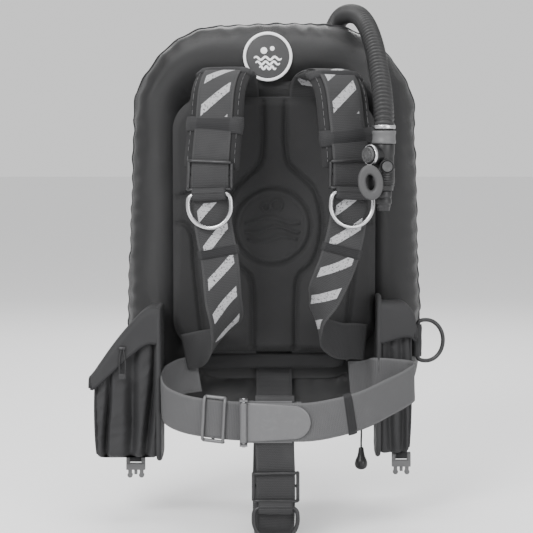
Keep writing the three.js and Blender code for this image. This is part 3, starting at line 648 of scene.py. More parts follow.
def threadRow(name, route, across, height, start, end, pitch=0.0042, radius=0.00035):
    verts, faces = [], []
    first, last = route.length * start, route.length * end
    for n in range(int((last - first) / pitch)):
        a, b = (route.at((first + pitch * (n + k)) / route.length) for k in (0.12, 0.78))
        ends = [f[0] + f[2] * across + f[3] * height for f in (a, b)]
        middle = (ends[0] + ends[1]) / 2 + a[3] * 0.0004
        points = [ends[0], middle, ends[1]]
        stitch, stitchFaces = tube(points, lambda t, s: radius, sides=5, step=0.0009)[:2]
        faces += [tuple(i + len(verts) for i in face) for face in stitchFaces]
        verts += stitch
    piece(name, verts, faces, greyThread, "harness")


greyThread = foamCloth("grey_thread", (0.10, 0.10, 0.102), (0.2, 0.2, 0.205))
webbing = (0.050, -0.0012, 0.0012)  # its width, and its two faces' heights off the route
shoulder = {"stations": 64, "padFrom": 12, "padTo": 31, "pad": (0.074, -0.0146, -0.0022),
            "webbing": (0.050, -0.0012, 0.0013), "thread": 0.0315, "keeper": (0.079, -0.0158, 0.0042),
            "lowKeeper": (0.0555, -0.0035, 0.0038), "rollRadius": 0.0072, "rollWidth": 0.044}


def makeShoulder(name, rows, upper, middle, slider):
    route = Route(rows)
    station = 1 / shoulder["stations"]
    padFrom, padTo = shoulder["padFrom"], shoulder["padTo"]
    pad = band(name + "_pad_cover", route, shoulder["pad"], shoulderCloth, (name + "_shoulder_pad",),
               "foam_pad", start=padFrom * station, end=padTo * station, crown=0.0012)
    for side in (-1, 1):
        threadRow(f"{name}_pad_thread_{'right' if side > 0 else 'left'}", route,
                  side * shoulder["thread"], -0.0026, (padFrom + 0.5) * station, (padTo - 0.5) * station)
    band(name + "_webbing", route, shoulder["webbing"], harnessWeb, (name + "_shoulder_webbing",),
         "webbing_grey", wave=0.0002)
    for label, at, long, sizes in (("upper", upper, 2, "keeper"), ("middle", middle, 2, "keeper"),
                                   ("lower", slider + 9, 1.2, "lowKeeper")):
        band(f"{name}_{label}_strap_keeper", route, shoulder[sizes], keeperWeb,
             (f"{name}_{label}_keeper",), "webbing_black", start=at * station,
             end=(at + long) * station, crown=0.0003)
    makeSlider(name + "_slider_plate", route, (slider - 1.0) * station, name + "_slider", blackSteel)
    ringJoint = joints[name + "_ring_hinge"]
    side = -Vector(ringJoint["axis"])
    place = Vector(ringJoint["pos_m"])
    dRing(name + "_d_ring_wire", name + "_d_ring", name + "_ring", place, side, polishedSteel)
    makeRoll(name + "_ring_roll", place, side, shoulder["rollRadius"], route.at((slider + 1.5) * station)[1])


# Webbing rolled round a ring's straight side.
def makeRoll(name, place, side, radius, ahead):
    out = side.cross(ahead).normalized() * -1
    rings = []
    uvs = []
    for k in range(13):
        x = (k / 12 - 0.5) * shoulder["rollWidth"]
        ring = []
        for n in range(24):
            a = turn * n / 24
            r = radius * (1 + 0.03 * math.sin(a * 3 + x * 300)) * (0.93 if k in (0, 12) else 1)
            ring.append(place + side * x + out * (math.cos(a) * r) + ahead * (math.sin(a) * r * 1.15))
            uvs.append((x, a * radius))
        rings.append(ring)
    verts, faces = skin(rings)
    piece(name, verts, faces, plainWeb, "harness", (), uvs)


# A three-bar slide: two bars over the webbing and one under it, joined outside its edges.
def makeSlider(name, route, at, node, material, length=0.034):
    bars = ((-0.5, 0.0045), (0.5, 0.0045), (0.0, -0.0035))  # share of the length, height off the route
    verts, faces = [], []

    def rod(points, radius):
        made, madeFaces = tube(points, lambda t, s: radius, sides=10, step=0.003)[:2]
        faces.extend(tuple(i + len(verts) for i in face) for face in madeFaces)
        verts.extend(made)

    rail = webbing[0] / 2 + 0.0035
    ends = []
    for share, lift in bars:
        place, ahead, side, out, goal = route.at(at + share * length / route.length)
        if lift > 0:
            ends.append([place + side * s * rail + out * 0.001 for s in (-1, 1)])
        row = [(-rail, 0.001), (-rail * 0.93, lift * 0.9), (0, lift), (rail * 0.93, lift * 0.9),
               (rail, 0.001)]
        rod([place + side * x + out * y for x, y in row], 0.0021)
    for s in (0, 1):
        rod([ends[0][s], (ends[0][s] + ends[1][s]) / 2, ends[1][s]], 0.0023)
    piece(name, verts, faces, material, "harness", (node,))


makeShoulder("left", leftRows, 14, 24, 33)
makeShoulder("right", rightRows, 16, 26, 33)
print("shoulders made")

# Waist belt
onPad = -44.65
beltZ = -235
leftBeltRows = [((-104, onPad, -196), up), ((-128, onPad - 1, -200), up), ((-146, -64, -206), up),
                ((-151.3, -84, -211), up), ((-151.6, -110, -216), up), ((-143, -146, -224), up),
                ((-118, -176, -230), up), ((-84, -195, -233), up), ((-46, -202.8, beltZ), up),
                ((0, -202.8, beltZ), up), ((34, -202.8, beltZ), up)]
rightBeltRows = [((104, onPad, -204), up), ((126, onPad - 6, -202), up), ((137, -76, -195), up),
                 ((166, -80, -196), up), ((183, -87, -197), up), ((188, -102, -199), up),
                 ((176, -124, -204), up), ((150, -154, -212), up), ((112, -186, -224), up),
                 ((76, -203, -231), up), ((46, -209, beltZ), up), ((14, -212.8, beltZ), up),
                 ((-26, -212.8, beltZ), up)]
leftBelt, rightBelt = Route(leftBeltRows), Route(rightBeltRows)
band("left_belt_web", leftBelt, webbing, beltWeb, ("left_waist_belt",), "webbing_grey",
     wave=0.0004)
band("right_belt_web", rightBelt, webbing, beltWeb, ("right_waist_belt",), "webbing_grey",
     wave=0.0003)
makeSlider("belt_slide_plate", leftBelt, 26.5 / 40, "belt_slider", buckleSteel, length=0.028)
band("belt_keeper_loop", rightBelt, (0.0555, -0.0034, 0.0034), keeperWeb, ("belt_keeper",),
     "webbing_black", start=26 / 40, end=27.3 / 40, crown=0.0003)
print("belt made")

# Lumbar pad
def makeLumbar():
    lo, hi = boxOf("lumbar_pad")
    rings = []
    steps = 60
    size = hi - lo
    for i in range(steps + 1):
        share = i / steps
        x = lo.x + size.x * share
        endEase = math.sqrt(max(0.02, 1 - abs(share * 2 - 1) ** 10))
        ring = []
        for n in range(32):
            a = turn * n / 32
            cx, cz = math.cos(a), math.sin(a)
            y = math.copysign(abs(cx) ** 0.55, cx) * size.y / 2 * endEase
            z = math.copysign(abs(cz) ** 0.55, cz) * size.z / 2 * endEase
            dent = 0.0009 * noise.noise(Vector((x * 40, cz * 2, cx * 2)))
            ring.append(Vector((x, (lo.y + hi.y) / 2 + y * (1 + dent / size.y * 4), (lo.z + hi.z) / 2 + z)))
        rings.append(ring)
    verts, faces = skin(rings)
    made = piece("lumbar_cover", verts, faces, shoulderCloth, "harness", ("lumbar_pad",))


makeLumbar()

# Crotch strap
loopY, frontY, backY = -202.8, -207.35, -198.25
topZ = beltZ + 31.25
crotchRows = [((0, backY, -270), onX), ((0, backY, beltZ), onX), ((0, backY, topZ - 3), onX),
              ((0, loopY, topZ + 1), onX), ((0, frontY - 0.15, topZ - 3), onX), ((0, frontY, beltZ), onX),
              ((0, frontY, -270), onX), ((1, -208, -300), onX), ((1, -207, -345), onX),
              ((0, -202, -374), onX), ((-1, -192, -384), onX), ((-3, -176, -376), onX),
              ((-4, -140, -340), onX), ((-3, -80, -272), onX), ((0, -34, -224), onX),
              ((0, -20, -208), onX), ((0, -15.65, -196), onX), ((0, -15.57, -182), onX),
              ((0, -15.55, -160), onX), ((0, -15.55, -132), onX)]
crotch = Route(crotchRows)
band("crotch_web", crotch, webbing, plainWeb, ("crotch_strap",), "webbing_grey", wave=0.0003)
makeSlider("crotch_slide_plate", crotch, 31 / 96, "crotch_slider", blackSteel)
crotchJoint = joints["crotch_ring_hinge"]
crotchSide = -Vector(crotchJoint["axis"])
crotchPlace = Vector(crotchJoint["pos_m"])
dRing("crotch_ring_wire", "crotch_d_ring", "crotch_ring", crotchPlace, crotchSide, blackSteel)
makeRoll("crotch_ring_roll", crotchPlace, crotchSide, 0.0072, Vector((0, 0, -1)))
hipJoint = joints["hip_ring_hinge"]
hipPlace = Vector(hipJoint["pos_m"])
dRing("hip_ring_wire", "hip_d_ring", "hip_ring", hipPlace, Vector((0, 0, 1)), blackSteel,
      hang=Vector((-1, 0, 0)), drop=ringWire["hipDrop"])
makeRoll("hip_ring_roll", hipPlace, Vector((0, 0, 1)), 0.0068, Vector((0, -1, 0)))
print("crotch strap and rings made")

# Buckle: a frame, and a lever with a rolled end on the pin, marked with a wave
leverHi = boxOf("buckle_lever")[1]
leverJoint = joints["buckle_lever_hinge"]
pinPlace = Vector(leverJoint["pos_m"])
lever = {"thickness": 0.0034, "radius": 0.020, "arch": 0.0022, "half": 0.0258, "narrowing": 0.0055,
         "pinHalf": 0.026, "pinRadius": 0.0048, "markRadius": 0.013, "waves": (-0.006, 0, 0.006)}


def makeLever():
    columns, rows = 54, 30
    left, right = pinPlace.x + 0.001, leverHi.x
    middleZ = pinPlace.z
    verts, faces = [], []
    for layer in (0, 1):
        for i in range(columns + 1):
            x = left + (right - left) * i / columns
            fromEnd = right - x
            half = lever["half"] - lever["narrowing"] * (x - left) / (right - left)
            if fromEnd < lever["radius"]:
                half *= math.sqrt(max(0.0, 1 - (1 - fromEnd / lever["radius"]) ** 2)) * 0.999 + 0.001
            for j in range(rows + 1):
                w = j / rows * 2 - 1
                arch = lever["arch"] * math.sin(math.pi * min(1, (x - left) / (right - left)))
                edge = 0.0009 * abs(w) ** 10
                ex, ez = x - (left + right) / 2 + 0.008, w * half
                mark = 0.0
                if math.hypot(ex, ez) < lever["markRadius"]:
                    for base in lever["waves"]:
                        wave = base + 0.0016 * math.sin(ex / 0.0032)
                        mark += 0.0005 * math.exp(-(((ez - wave) / 0.0009) ** 2))
                y = leverHi.y - 0.0003 if layer else leverHi.y - lever["thickness"] - arch + edge + mark
                verts.append((x, y, middleZ + w * half))
    stride = rows + 1
    block = (columns + 1) * stride
    for layer in (0, 1):
        for i in range(columns):
            for j in range(rows):
                a = layer * block + i * stride + j
                faces.append((a, a + stride, a + stride + 1, a + 1))
    rim = [i * stride for i in range(columns + 1)] + [columns * stride + j for j in range(1, rows + 1)]
    rim += [i * stride + rows for i in range(columns - 1, -1, -1)] + [j for j in range(rows - 1, 0, -1)]
    for a, b in zip(rim, rim[1:] + rim[:1]):
        faces.append((a, b, b + block, a + block))
    heights = (-lever["pinHalf"], -0.012, 0.012, lever["pinHalf"])
    rolled, rolledFaces = tube([pinPlace + Vector((0, 0, z)) for z in heights],
                               lambda t, s: lever["pinRadius"], sides=24, step=0.002)[:2]
    faces += [tuple(i + len(verts) for i in face) for face in rolledFaces]
    verts += [tuple(v) for v in rolled]
    piece("buckle_lever_plate", verts, faces, buckleSteel, "buckle_lever", ("buckle_lever",))


makeLever()
print("buckle made")

# Corrugated hose
hose = {"diameter": 0.027, "rib": 0.0058, "groove": 0.0028}
hosePoints = [(84, 88.3, 270.3), (84, 88.3, 279), (89, 80, 292), (95, 62, 301), (102, 38, 304),
              (110, 8, 302), (118, -24, 295), (126, -58, 278), (133, -90, 250), (137, -118, 218),
              (140, -142, 188), (141, -159, 162), (141, -166, 145.6), (141, -166, 137.6)]
hosePath = [Vector(p) * mm for p in hosePoints]


def hoseRadius(share, length):
    wave = 0.5 + 0.5 * math.cos(turn * length / hose["rib"])
    return hose["diameter"] / 2 - hose["groove"] * (1 - wave ** 0.9)


verts, faces, hoseLine = tube(hosePath, hoseRadius, sides=28, step=hose["rib"] / 10)
hosePiece = piece("hose", verts, faces, hoseRubber, "harness", ("corrugated_hose",))


# Inflator
# A turned part between two points, from rows of distance along and radius.
def turned(start, end, rows, sides=40, ring=False):
    start, end = Vector(start), Vector(end)
    ahead = (end - start).normalized()
    side = ahead.orthogonal().normalized()
    other = ahead.cross(side)
    rings = []
    for distance, radius in rows:
        middle = start + ahead * distance
        rings.append([middle + (side * math.cos(a) + other * math.sin(a)) * radius
                      for a in (turn * k / sides for k in range(sides))])
    return skin(rings, closedAlong=ring)


def collect(*meshes):
    verts, faces = [], []
    for made in meshes:
        faces += [tuple(i + len(verts) for i in face) for face in made[1]]
        verts += [tuple(v) for v in made[0]]
    return verts, faces


def sharpen(made, width=0.0005):
    return bevelled(made, width, 2, 38)


body = {"x": 0.141, "y": -0.166, "top": 0.120, "bottom": 0.060, "radius": 0.014}
collarRows = [(0, 0.0146), (0.001, 0.0155), (0.004, 0.0155), (0.005, 0.0149), (0.012, 0.0149),
              (0.013, 0.0155), (0.016, 0.0155), (0.017, 0.0146)]
collarLow = (body["x"], body["y"], 0.1203)
collarHigh = (body["x"], body["y"], 0.1373)
verts, faces = turned(collarLow, collarHigh, collarRows)
sharpen(piece("collar", verts, faces, greyPlastic, "harness", ("hose_collar",)))
tieRows = [(0, 0.0140), (0.0008, 0.0148), (0.0042, 0.0148), (0.005, 0.0140)]
verts, faces = turned((body["x"], body["y"], 0.1395), (body["x"], body["y"], 0.1445), tieRows)
sharpen(piece("hose_clamp", verts, faces, polishedSteel, "harness", ()), 0.0003)

exhaustOut = Vector((-0.8, -0.6, 0))
exhaustRim = Vector((body["x"], body["y"], 0.106)) + exhaustOut * 0.025
mouthPlace = Vector((0.122, -0.185, 0.071))
axisTop = Vector((body["x"], body["y"], body["top"]))
axisLow = Vector((body["x"], body["y"], body["bottom"]))
bodyRows = [(0, 0.0132), (0.001, 0.014), (0.013, 0.014), (0.0145, 0.0132), (0.030, 0.0132), (0.032, 0.014),
            (0.050, 0.014), (0.052, 0.0131), (0.060, 0.0122)]
exhaustRows = [(0, 0.0105), (0.012, 0.0112), (0.0165, 0.0112), (0.0175, 0.013), (0.025, 0.013),
               (0.0248, 0.0113), (0.0195, 0.0112)]
bossRows = [(0, 0.009), (0.010, 0.0096), (0.018, 0.010), (0.0225, 0.0106), (0.0285, 0.0104)]
inflateRows = [(0, 0.0094), (0.0163, 0.0094), (0.017, 0.0088), (0.0168, 0.0074), (0.0128, 0.0073)]
inflateStart = Vector((0.144, body["y"], 0.091))
parts = [turned(axisTop, axisLow, bodyRows),
         turned(exhaustRim - exhaustOut * 0.025, exhaustRim, exhaustRows),
         turned(Vector((body["x"], body["y"], 0.072)), mouthPlace + Vector((0, 0.002, 0)), bossRows),
         turned(inflateStart, inflateStart + Vector((0, -0.02, 0)), inflateRows, 28)]
gripRows = [(0, 0.0136), (0.0004, 0.0146), (0.0012, 0.0146), (0.0016, 0.0136)]
for k in range(7):  # grip ribs on the body's right side
    z = 0.066 + k * 0.0032
    parts.append(turned((0.1405, body["y"], z), (0.1405, body["y"], z + 0.0016), gripRows))
verts, faces = collect(*parts)
sharpen(piece("inflator_housing", verts, faces, blackPlastic, "harness", ("inflator_body",)))

capRows = [(0, 0.0106), (0.0040, 0.0106), (0.0052, 0.0100), (0.0053, 0.0088), (0.0046, 0.0084),
           (0.0047, 0.0062), (0.0054, 0.0058), (0.0056, 0.0030), (0.0050, 0.0026), (0.0050, 0.0004)]
verts, faces = turned(exhaustRim - exhaustOut * 0.004, exhaustRim + exhaustOut, [
    (0, 0.0128), (0.0005, 0.0136), (0.0030, 0.0136), (0.0040, 0.0130), (0.0042, 0.0122), (0.0036, 0.0116),
    (0, 0.0116)], ring=True)
sharpen(piece("exhaust_rim", verts, faces, polishedSteel, "harness", ()), 0.0003)
capStart = exhaustRim - exhaustOut * 0.0012
capParts = [turned(capStart, capStart + exhaustOut * 0.01, capRows)]
capSide = Vector((-exhaustOut.y, exhaustOut.x, 0)) * -1
studRows = [(0, 0.0009), (0.0012, 0.0009), (0.0015, 0.0004)]
for k in range(10):  # raised studs round the cap
    a = turn * k / 10
    spot = capStart + exhaustOut * 0.0042 + (capSide * math.cos(a) + Vector((0, 0, 1)) * math.sin(a)) * 0.0073
    capParts.append(turned(spot, spot + exhaustOut * 0.002, studRows, 10))
verts, faces = collect(*capParts)
sharpen(piece("exhaust_cap", verts, faces, capPlastic, "exhaust_button", ("exhaust_button",)),
        0.0002)
buttonRows = [(0, 0.0069), (0.0030, 0.0069), (0.0036, 0.0063), (0.0034, 0.0048), (0.0028, 0.0030),
              (0.0027, 0.0004)]
buttonStart = Vector((0.144, -0.1828, 0.091))
verts, faces = turned(buttonStart, buttonStart + Vector((0, -0.01, 0)), buttonRows, 32)
sharpen(piece("inflate_cap", verts, faces, capPlastic, "inflate_button", ("inflate_button",)),
        0.0003)


# The mouthpiece: an oval lip round an oval hole, with a flange.
mouth = {"halfWidth": 0.016, "halfHeight": 0.0228, "lean": 8}


def makeMouthpiece():
    profile = [(0.0, 0.55), (0.0, 1.0), (0.003, 1.0), (0.0045, 0.90), (0.009, 0.90), (0.0105, 1.0),
               (0.0135, 1.0), (0.0148, 0.90), (0.0150, 0.62), (0.0138, 0.44), (0.004, 0.42), (0.002, 0.44)]
    rings = []
    lean = math.radians(mouth["lean"])
    for depth, scale in profile:
        ring = []
        for k in range(48):
            a = turn * k / 48
            narrow = 1 if scale > 0.6 else 0.72
            x = mouth["halfWidth"] * scale * narrow * math.cos(a)
            z = mouth["halfHeight"] * scale * math.sin(a)
            x, z = x * math.cos(lean) - z * math.sin(lean), x * math.sin(lean) + z * math.cos(lean)
            ring.append(mouthPlace + Vector((x, -0.0003 - depth, z)))
        rings.append(ring)
    verts, faces = skin(rings, closedAlong=True)
    made = piece("mouthpiece_lip", verts, faces, lipRubber, "harness", ("mouthpiece",))
    made.modifiers.new("round", "SUBSURF").levels = 1
    made.modifiers["round"].render_levels = 1


makeMouthpiece()
couplingRows = [(0, 0.0098), (0.001, 0.0105), (0.008, 0.0105), (0.0085, 0.0096), (0.010, 0.0096),
                (0.0105, 0.0105), (0.0165, 0.0105), (0.0172, 0.0090), (0.0215, 0.0088), (0.0220, 0.0080),
                (0.0257, 0.0078)]
verts, faces = turned((body["x"], body["y"], 0.0597), (body["x"], body["y"], 0.034), couplingRows)
sharpen(piece("coupling", verts, faces, blackSteel, "harness", ("hose_coupling",)), 0.0003)

elbow = {"x": 0.084, "y": 0.0883, "z": 0.241, "radius": 0.0136}
elbowBend = [Vector((elbow["x"], y, z)) for y, z in (
    (0.066, elbow["z"]), (0.076, 0.2412), (0.0858, 0.2440),
    (elbow["y"], 0.2535), (elbow["y"], 0.262), (elbow["y"], 0.270))]
flangeRows = [(0, 0.020), (0.0006, 0.0205), (0.0034, 0.0205), (0.0042, 0.0195), (0.0044, 0.0165),
              (0.0075, 0.016)]
cuffRows = [(0, 0.0142), (0.0008, 0.0150), (0.0070, 0.0150), (0.0080, 0.0140)]
verts, faces = collect(
    tube(elbowBend, lambda t, s: elbow["radius"], sides=32, step=0.0015)[:2],
    turned((elbow["x"], 0.0643, elbow["z"]), (elbow["x"], 0.074, elbow["z"]), flangeRows),
    turned((elbow["x"], elbow["y"], 0.261), (elbow["x"], elbow["y"], 0.2697), cuffRows))
sharpen(piece("elbow", verts, faces, blackPlastic, "harness", ("inflator_elbow",)), 0.0003)
print("hose and inflator made")


# Dump valve
dumpRows = [(0, 0.0165), (0.0006, 0.0212), (0.0014, 0.0220), (0.0036, 0.0220), (0.0046, 0.0208),
            (0.0062, 0.0204), (0.0112, 0.0196), (0.0128, 0.0184), (0.0132, 0.0130), (0.0124, 0.0120),
            (0.0124, 0.0004)]
dumpTop = Vector((0.112, -0.0206, -0.252))
ribs = [turned(dumpTop + Vector((math.cos(a) * 0.0198, -0.006, math.sin(a) * 0.0198)),
               dumpTop + Vector((math.cos(a) * 0.0198, -0.0108, math.sin(a) * 0.0198)),
               [(0, 0.0011), (0.0043, 0.0011), (0.0048, 0.0006)], 10)
        for a in (turn * k / 24 for k in range(24))]
verts, faces = collect(turned(dumpTop, dumpTop + Vector((0, -0.02, 0)), dumpRows, 64), *ribs)
sharpen(piece("dump_housing", verts, faces, blackPlastic, "harness", ("dump_valve",)),
        0.0003)

pull = {"top": (0.122, -0.0251, -0.2712), "length": 0.031, "diameter": 0.0026}
pullTop = Vector(pull["top"])
pullEnd = pullTop - Vector((0, 0, pull["length"]))
pullPoints = [pullTop, pullTop.lerp(pullEnd, 0.35) + Vector((0.0002, 0, 0)), pullTop.lerp(pullEnd, 0.7),
              pullEnd]
verts, faces, pullLine = tube(pullPoints, lambda t, s: pull["diameter"] / 2 * (1 + 0.05 * math.sin(s * 9000)),
                              sides=14, step=0.0004)
pullCord = piece("pull_cord", verts, faces, plainWeb, "dump_pull", ("dump_cord",))
toggleRows = [(0, 0.0012), (0.0008, 0.0032), (0.0030, 0.0038), (0.0070, 0.0042), (0.0130, 0.0055),
              (0.0180, 0.0078), (0.0215, 0.0088), (0.0250, 0.0089), (0.0285, 0.0078), (0.0308, 0.0048),
              (0.0318, 0.0014)]
verts, faces = turned(pullEnd - Vector((0, 0, 0.0004)), pullEnd - Vector((0, 0, 0.04)), toggleRows, 40)
toggle = piece("toggle", verts, faces, blackPlastic, "dump_pull", ("dump_toggle",))
print("dump valve made")


# Patch on the wing: a white ring round a grey disc with waves and bubbles on it
patchMiddle = Vector((-0.009, -0.0203, 0.241))
faceOut = Vector((0, -1, 0))


def ribbonOn(middle, points, half, low, high):  # a flat raised line, given by x and z from middle
    line = evenly(smoothPath([Vector((x, 0, z)) for x, z in points]), 0.0008)[0]
    rings = []
    for i, place in enumerate(line):
        ahead = (line[min(i + 1, len(line) - 1)] - line[max(i - 1, 0)]).normalized()
        side = Vector((ahead.z, 0, -ahead.x))
        ease = math.sqrt(max(0.05, 1 - (2 * i / (len(line) - 1) - 1) ** 8))
        rings.append([middle + place + side * (half * ease * s) - Vector((0, h, 0))
                      for s, h in ((-1, low), (-1, high), (1, high), (1, low))])
    return skin(rings)


def emblem(middle, size, low, high):  # three waves under two bubbles
    made = []
    for row, reach in enumerate((0.80, 0.70, 0.48)):
        z = -size * (0.10 + row * 0.27)
        points = [(size * reach * (k / 12 - 1), z + size * 0.085 * math.sin(math.pi * k / 4.0))
                  for k in range(25)]
        made.append(ribbonOn(middle, points, size * 0.062, low, high))
    for x, z, r in ((-0.22, 0.34, 0.19), (0.26, 0.46, 0.13)):
        spot = middle + Vector((x * size, -low, z * size))
        made.append(turned(spot, spot + faceOut, [(0, r * size), (high - low, r * size)], 32))
    return collect(*made)


rimRows = [(0, 0.0330), (0.0012, 0.0340), (0.0024, 0.0338), (0.0030, 0.0330), (0.0030, 0.0306),
           (0.0024, 0.0300), (0.0004, 0.0298)]
discRows = [(0.0004, 0.0297), (0.0019, 0.0295), (0.0021, 0.0286), (0.0021, 0.0004)]
verts, faces = turned(patchMiddle, patchMiddle + faceOut, rimRows, 96, ring=True)
piece("patch_rim", verts, faces, badgeWhite, "harness", ("wing_patch",))
verts, faces = turned(patchMiddle, patchMiddle + faceOut, discRows, 96)
piece("patch_disc", verts, faces, badgeGrey, "harness", ())
verts, faces = emblem(patchMiddle, 0.024, 0.0018, 0.0030)
sharpen(piece("patch_emblem", verts, faces, badgeWhite, "harness", ()), 0.0002)
print("patch made")


# Pockets: a board at the back, a pleated gusset, an outer face, and a flap folded over them
pockets = {
    "left": {"inner": -0.1536, "outer": -0.245, "front": -0.104, "rear": -0.040, "floor": -0.304,
             "topIn": -0.112, "topOut": -0.172, "deep": 0.015,
             "folds": ((0.15, 0.05), (0.43, 0.075), (0.79, 0.035))},
    "right": {"inner": 0.1404, "outer": 0.190, "front": -0.0728, "rear": -0.027, "floor": -0.304,
              "topIn": -0.100, "topOut": -0.100, "deep": 0.008, "folds": ((0.36, 0.09), (0.70, 0.08))},
}


def makePocket(side, p):
    sign = 1 if p["outer"] > p["inner"] else -1
    width, depth = abs(p["outer"] - p["inner"]), p["rear"] - p["front"]
    middleX, middleY = (p["inner"] + p["outer"]) / 2, (p["front"] + p["rear"]) / 2
    loop = roundedLoop(width / 2, depth / 2, 0.010, 300)[0]
    rows = 90

    def topAt(share):  # share runs from the board to the outer face
        dip = 0.016 * math.sin(math.pi * share) ** 0.7
        return p["topIn"] + (p["topOut"] - p["topIn"]) * share - 0.004 - dip

    rings = []
    for r in range(rows + 1):
        t = r / rows
        ring = []
        for spot, out in loop:
            share = 0.5 + sign * spot.x / width
            onSides = abs(out.y) ** 0.8
            fold = 0.0
            for at, wide in p["folds"]:
                drift = at + 0.16 * (0.45 - t) * (1 - at) + 0.02 * math.sin(t * 5 + at * 9)
                depthThere = 0.45 + 0.55 * math.sin(math.pi * min(1, t * 1.1 + 0.12))
                fold += math.exp(-((share - drift) / wide) ** 2) * depthThere
            inwards = p["deep"] * fold * onSides
            faceBulge = 0.5 * (1 - abs(out.y)) * (1 if out.x * sign > 0 else 0)
            inwards += 0.016 * (1 - math.sin(math.pi * (0.06 + 0.88 * t)) ** 0.6) * faceBulge
            crease = noise.noise(Vector((spot.x * 22, spot.y * 22, t * 5.0 + 3)))
            crease += 0.6 * noise.noise(Vector((spot.x * 60, spot.y * 60, t * 11.0)))
            inwards += 0.0024 * abs(crease) + 0.0008
            base = max(0.0, 1 - t / 0.07)
            inwards += 0.010 * (1 - math.sqrt(max(0.0, 1 - base ** 2)))
            lid = max(0.0, 1 - (1 - t) / 0.05)
            inwards += 0.008 * (1 - math.sqrt(max(0.0, 1 - lid ** 2)))
            z = p["floor"] + (topAt(min(1, max(0, share))) - p["floor"]) * t
            ring.append(Vector((middleX + spot.x - out.x * inwards, middleY + spot.y - out.y * inwards, z)))
        rings.append(ring)
    verts, faces = skin(rings)
    body = "harness"
    piece(side + "_pocket_bag", verts, faces, pocketCloth, body, (side + "_pocket",))

    # The board, a flat upright panel with a bound edge.
    near, far = p["inner"] - sign * 0.0004, p["inner"] + sign * 0.0052
    halfY, low, high = depth / 2 + 0.003, p["floor"] - 0.002, p["topIn"] + 0.012
    outline = roundedLoop(halfY, (high - low) / 2, 0.016, 140)[0]
    rings = []
    for x, shrink in ((near, 0.0016), (near + sign * 0.0006, 0.0004), ((near + far) / 2, 0),
                      (far - sign * 0.0006, 0.0004), (far, 0.0016)):
        rings.append([Vector((x, middleY + s.x - o.x * shrink, (low + high) / 2 + s.y - o.y * shrink))
                      for s, o in outline])
    verts, faces = skin(rings)
    piece(side + "_pocket_board", verts, faces, pocketCloth, body, ())
    edge = [Vector(((near + far) / 2, middleY + s.x, (low + high) / 2 + s.y)) for s, o in outline[::4]]
    verts, faces = tube(edge, lambda t, s: 0.0034 + 0.0001 * math.sin(s * 1800), closed=True, sides=12,
                        step=0.003)[:2]
    piece(side + "_board_binding", verts, faces, plainWeb, body, ())

    # Piping round the outer face.
    for y, out in ((p["front"], -1), (p["rear"], 1)):
        path = []
        for k in range(12):
            t = 0.05 + 0.90 * k / 11
            z = p["floor"] + (topAt(0.97) - p["floor"]) * t
            tuck = 0.006 * (1 - math.sin(math.pi * min(1, max(0, t * 0.96 + 0.02))) ** 0.35)
            path.append(Vector((p["outer"] - sign * (0.0030 + tuck), y - out * (0.0040 + tuck * 0.4), z)))
        verts, faces = tube(path, lambda t, s: 0.0019, sides=10, step=0.003)[:2]
        place = "front" if out < 0 else "rear"
        piece(f"{side}_piping_{place}", verts, faces, keeperWeb, body, ())


for side, sizes in pockets.items():
    makePocket(side, sizes)
print("pocket bodies made")


# Pocket flaps, buckles and the zip pull
flap = {"thickness": 0.0032, "lip": 0.032, "levelLip": 0.038, "hemRadius": 0.0026, "edgeRadius": 0.0022}


def clothSheet(name, grid, thickness, material, body, stands):
    across = len(grid[0])
    verts = [p for row in grid for p in row]
    faces = [(i * across + j, i * across + j + 1, (i + 1) * across + j + 1, (i + 1) * across + j)
             for i in range(len(grid) - 1) for j in range(across - 1)]
    made = piece(name, verts, faces, material, body, stands)
    solid = made.modifiers.new("thickness", "SOLIDIFY")
    solid.thickness = thickness
    solid.offset = 0
    bevelled(made, thickness * 0.42, 3, 40)


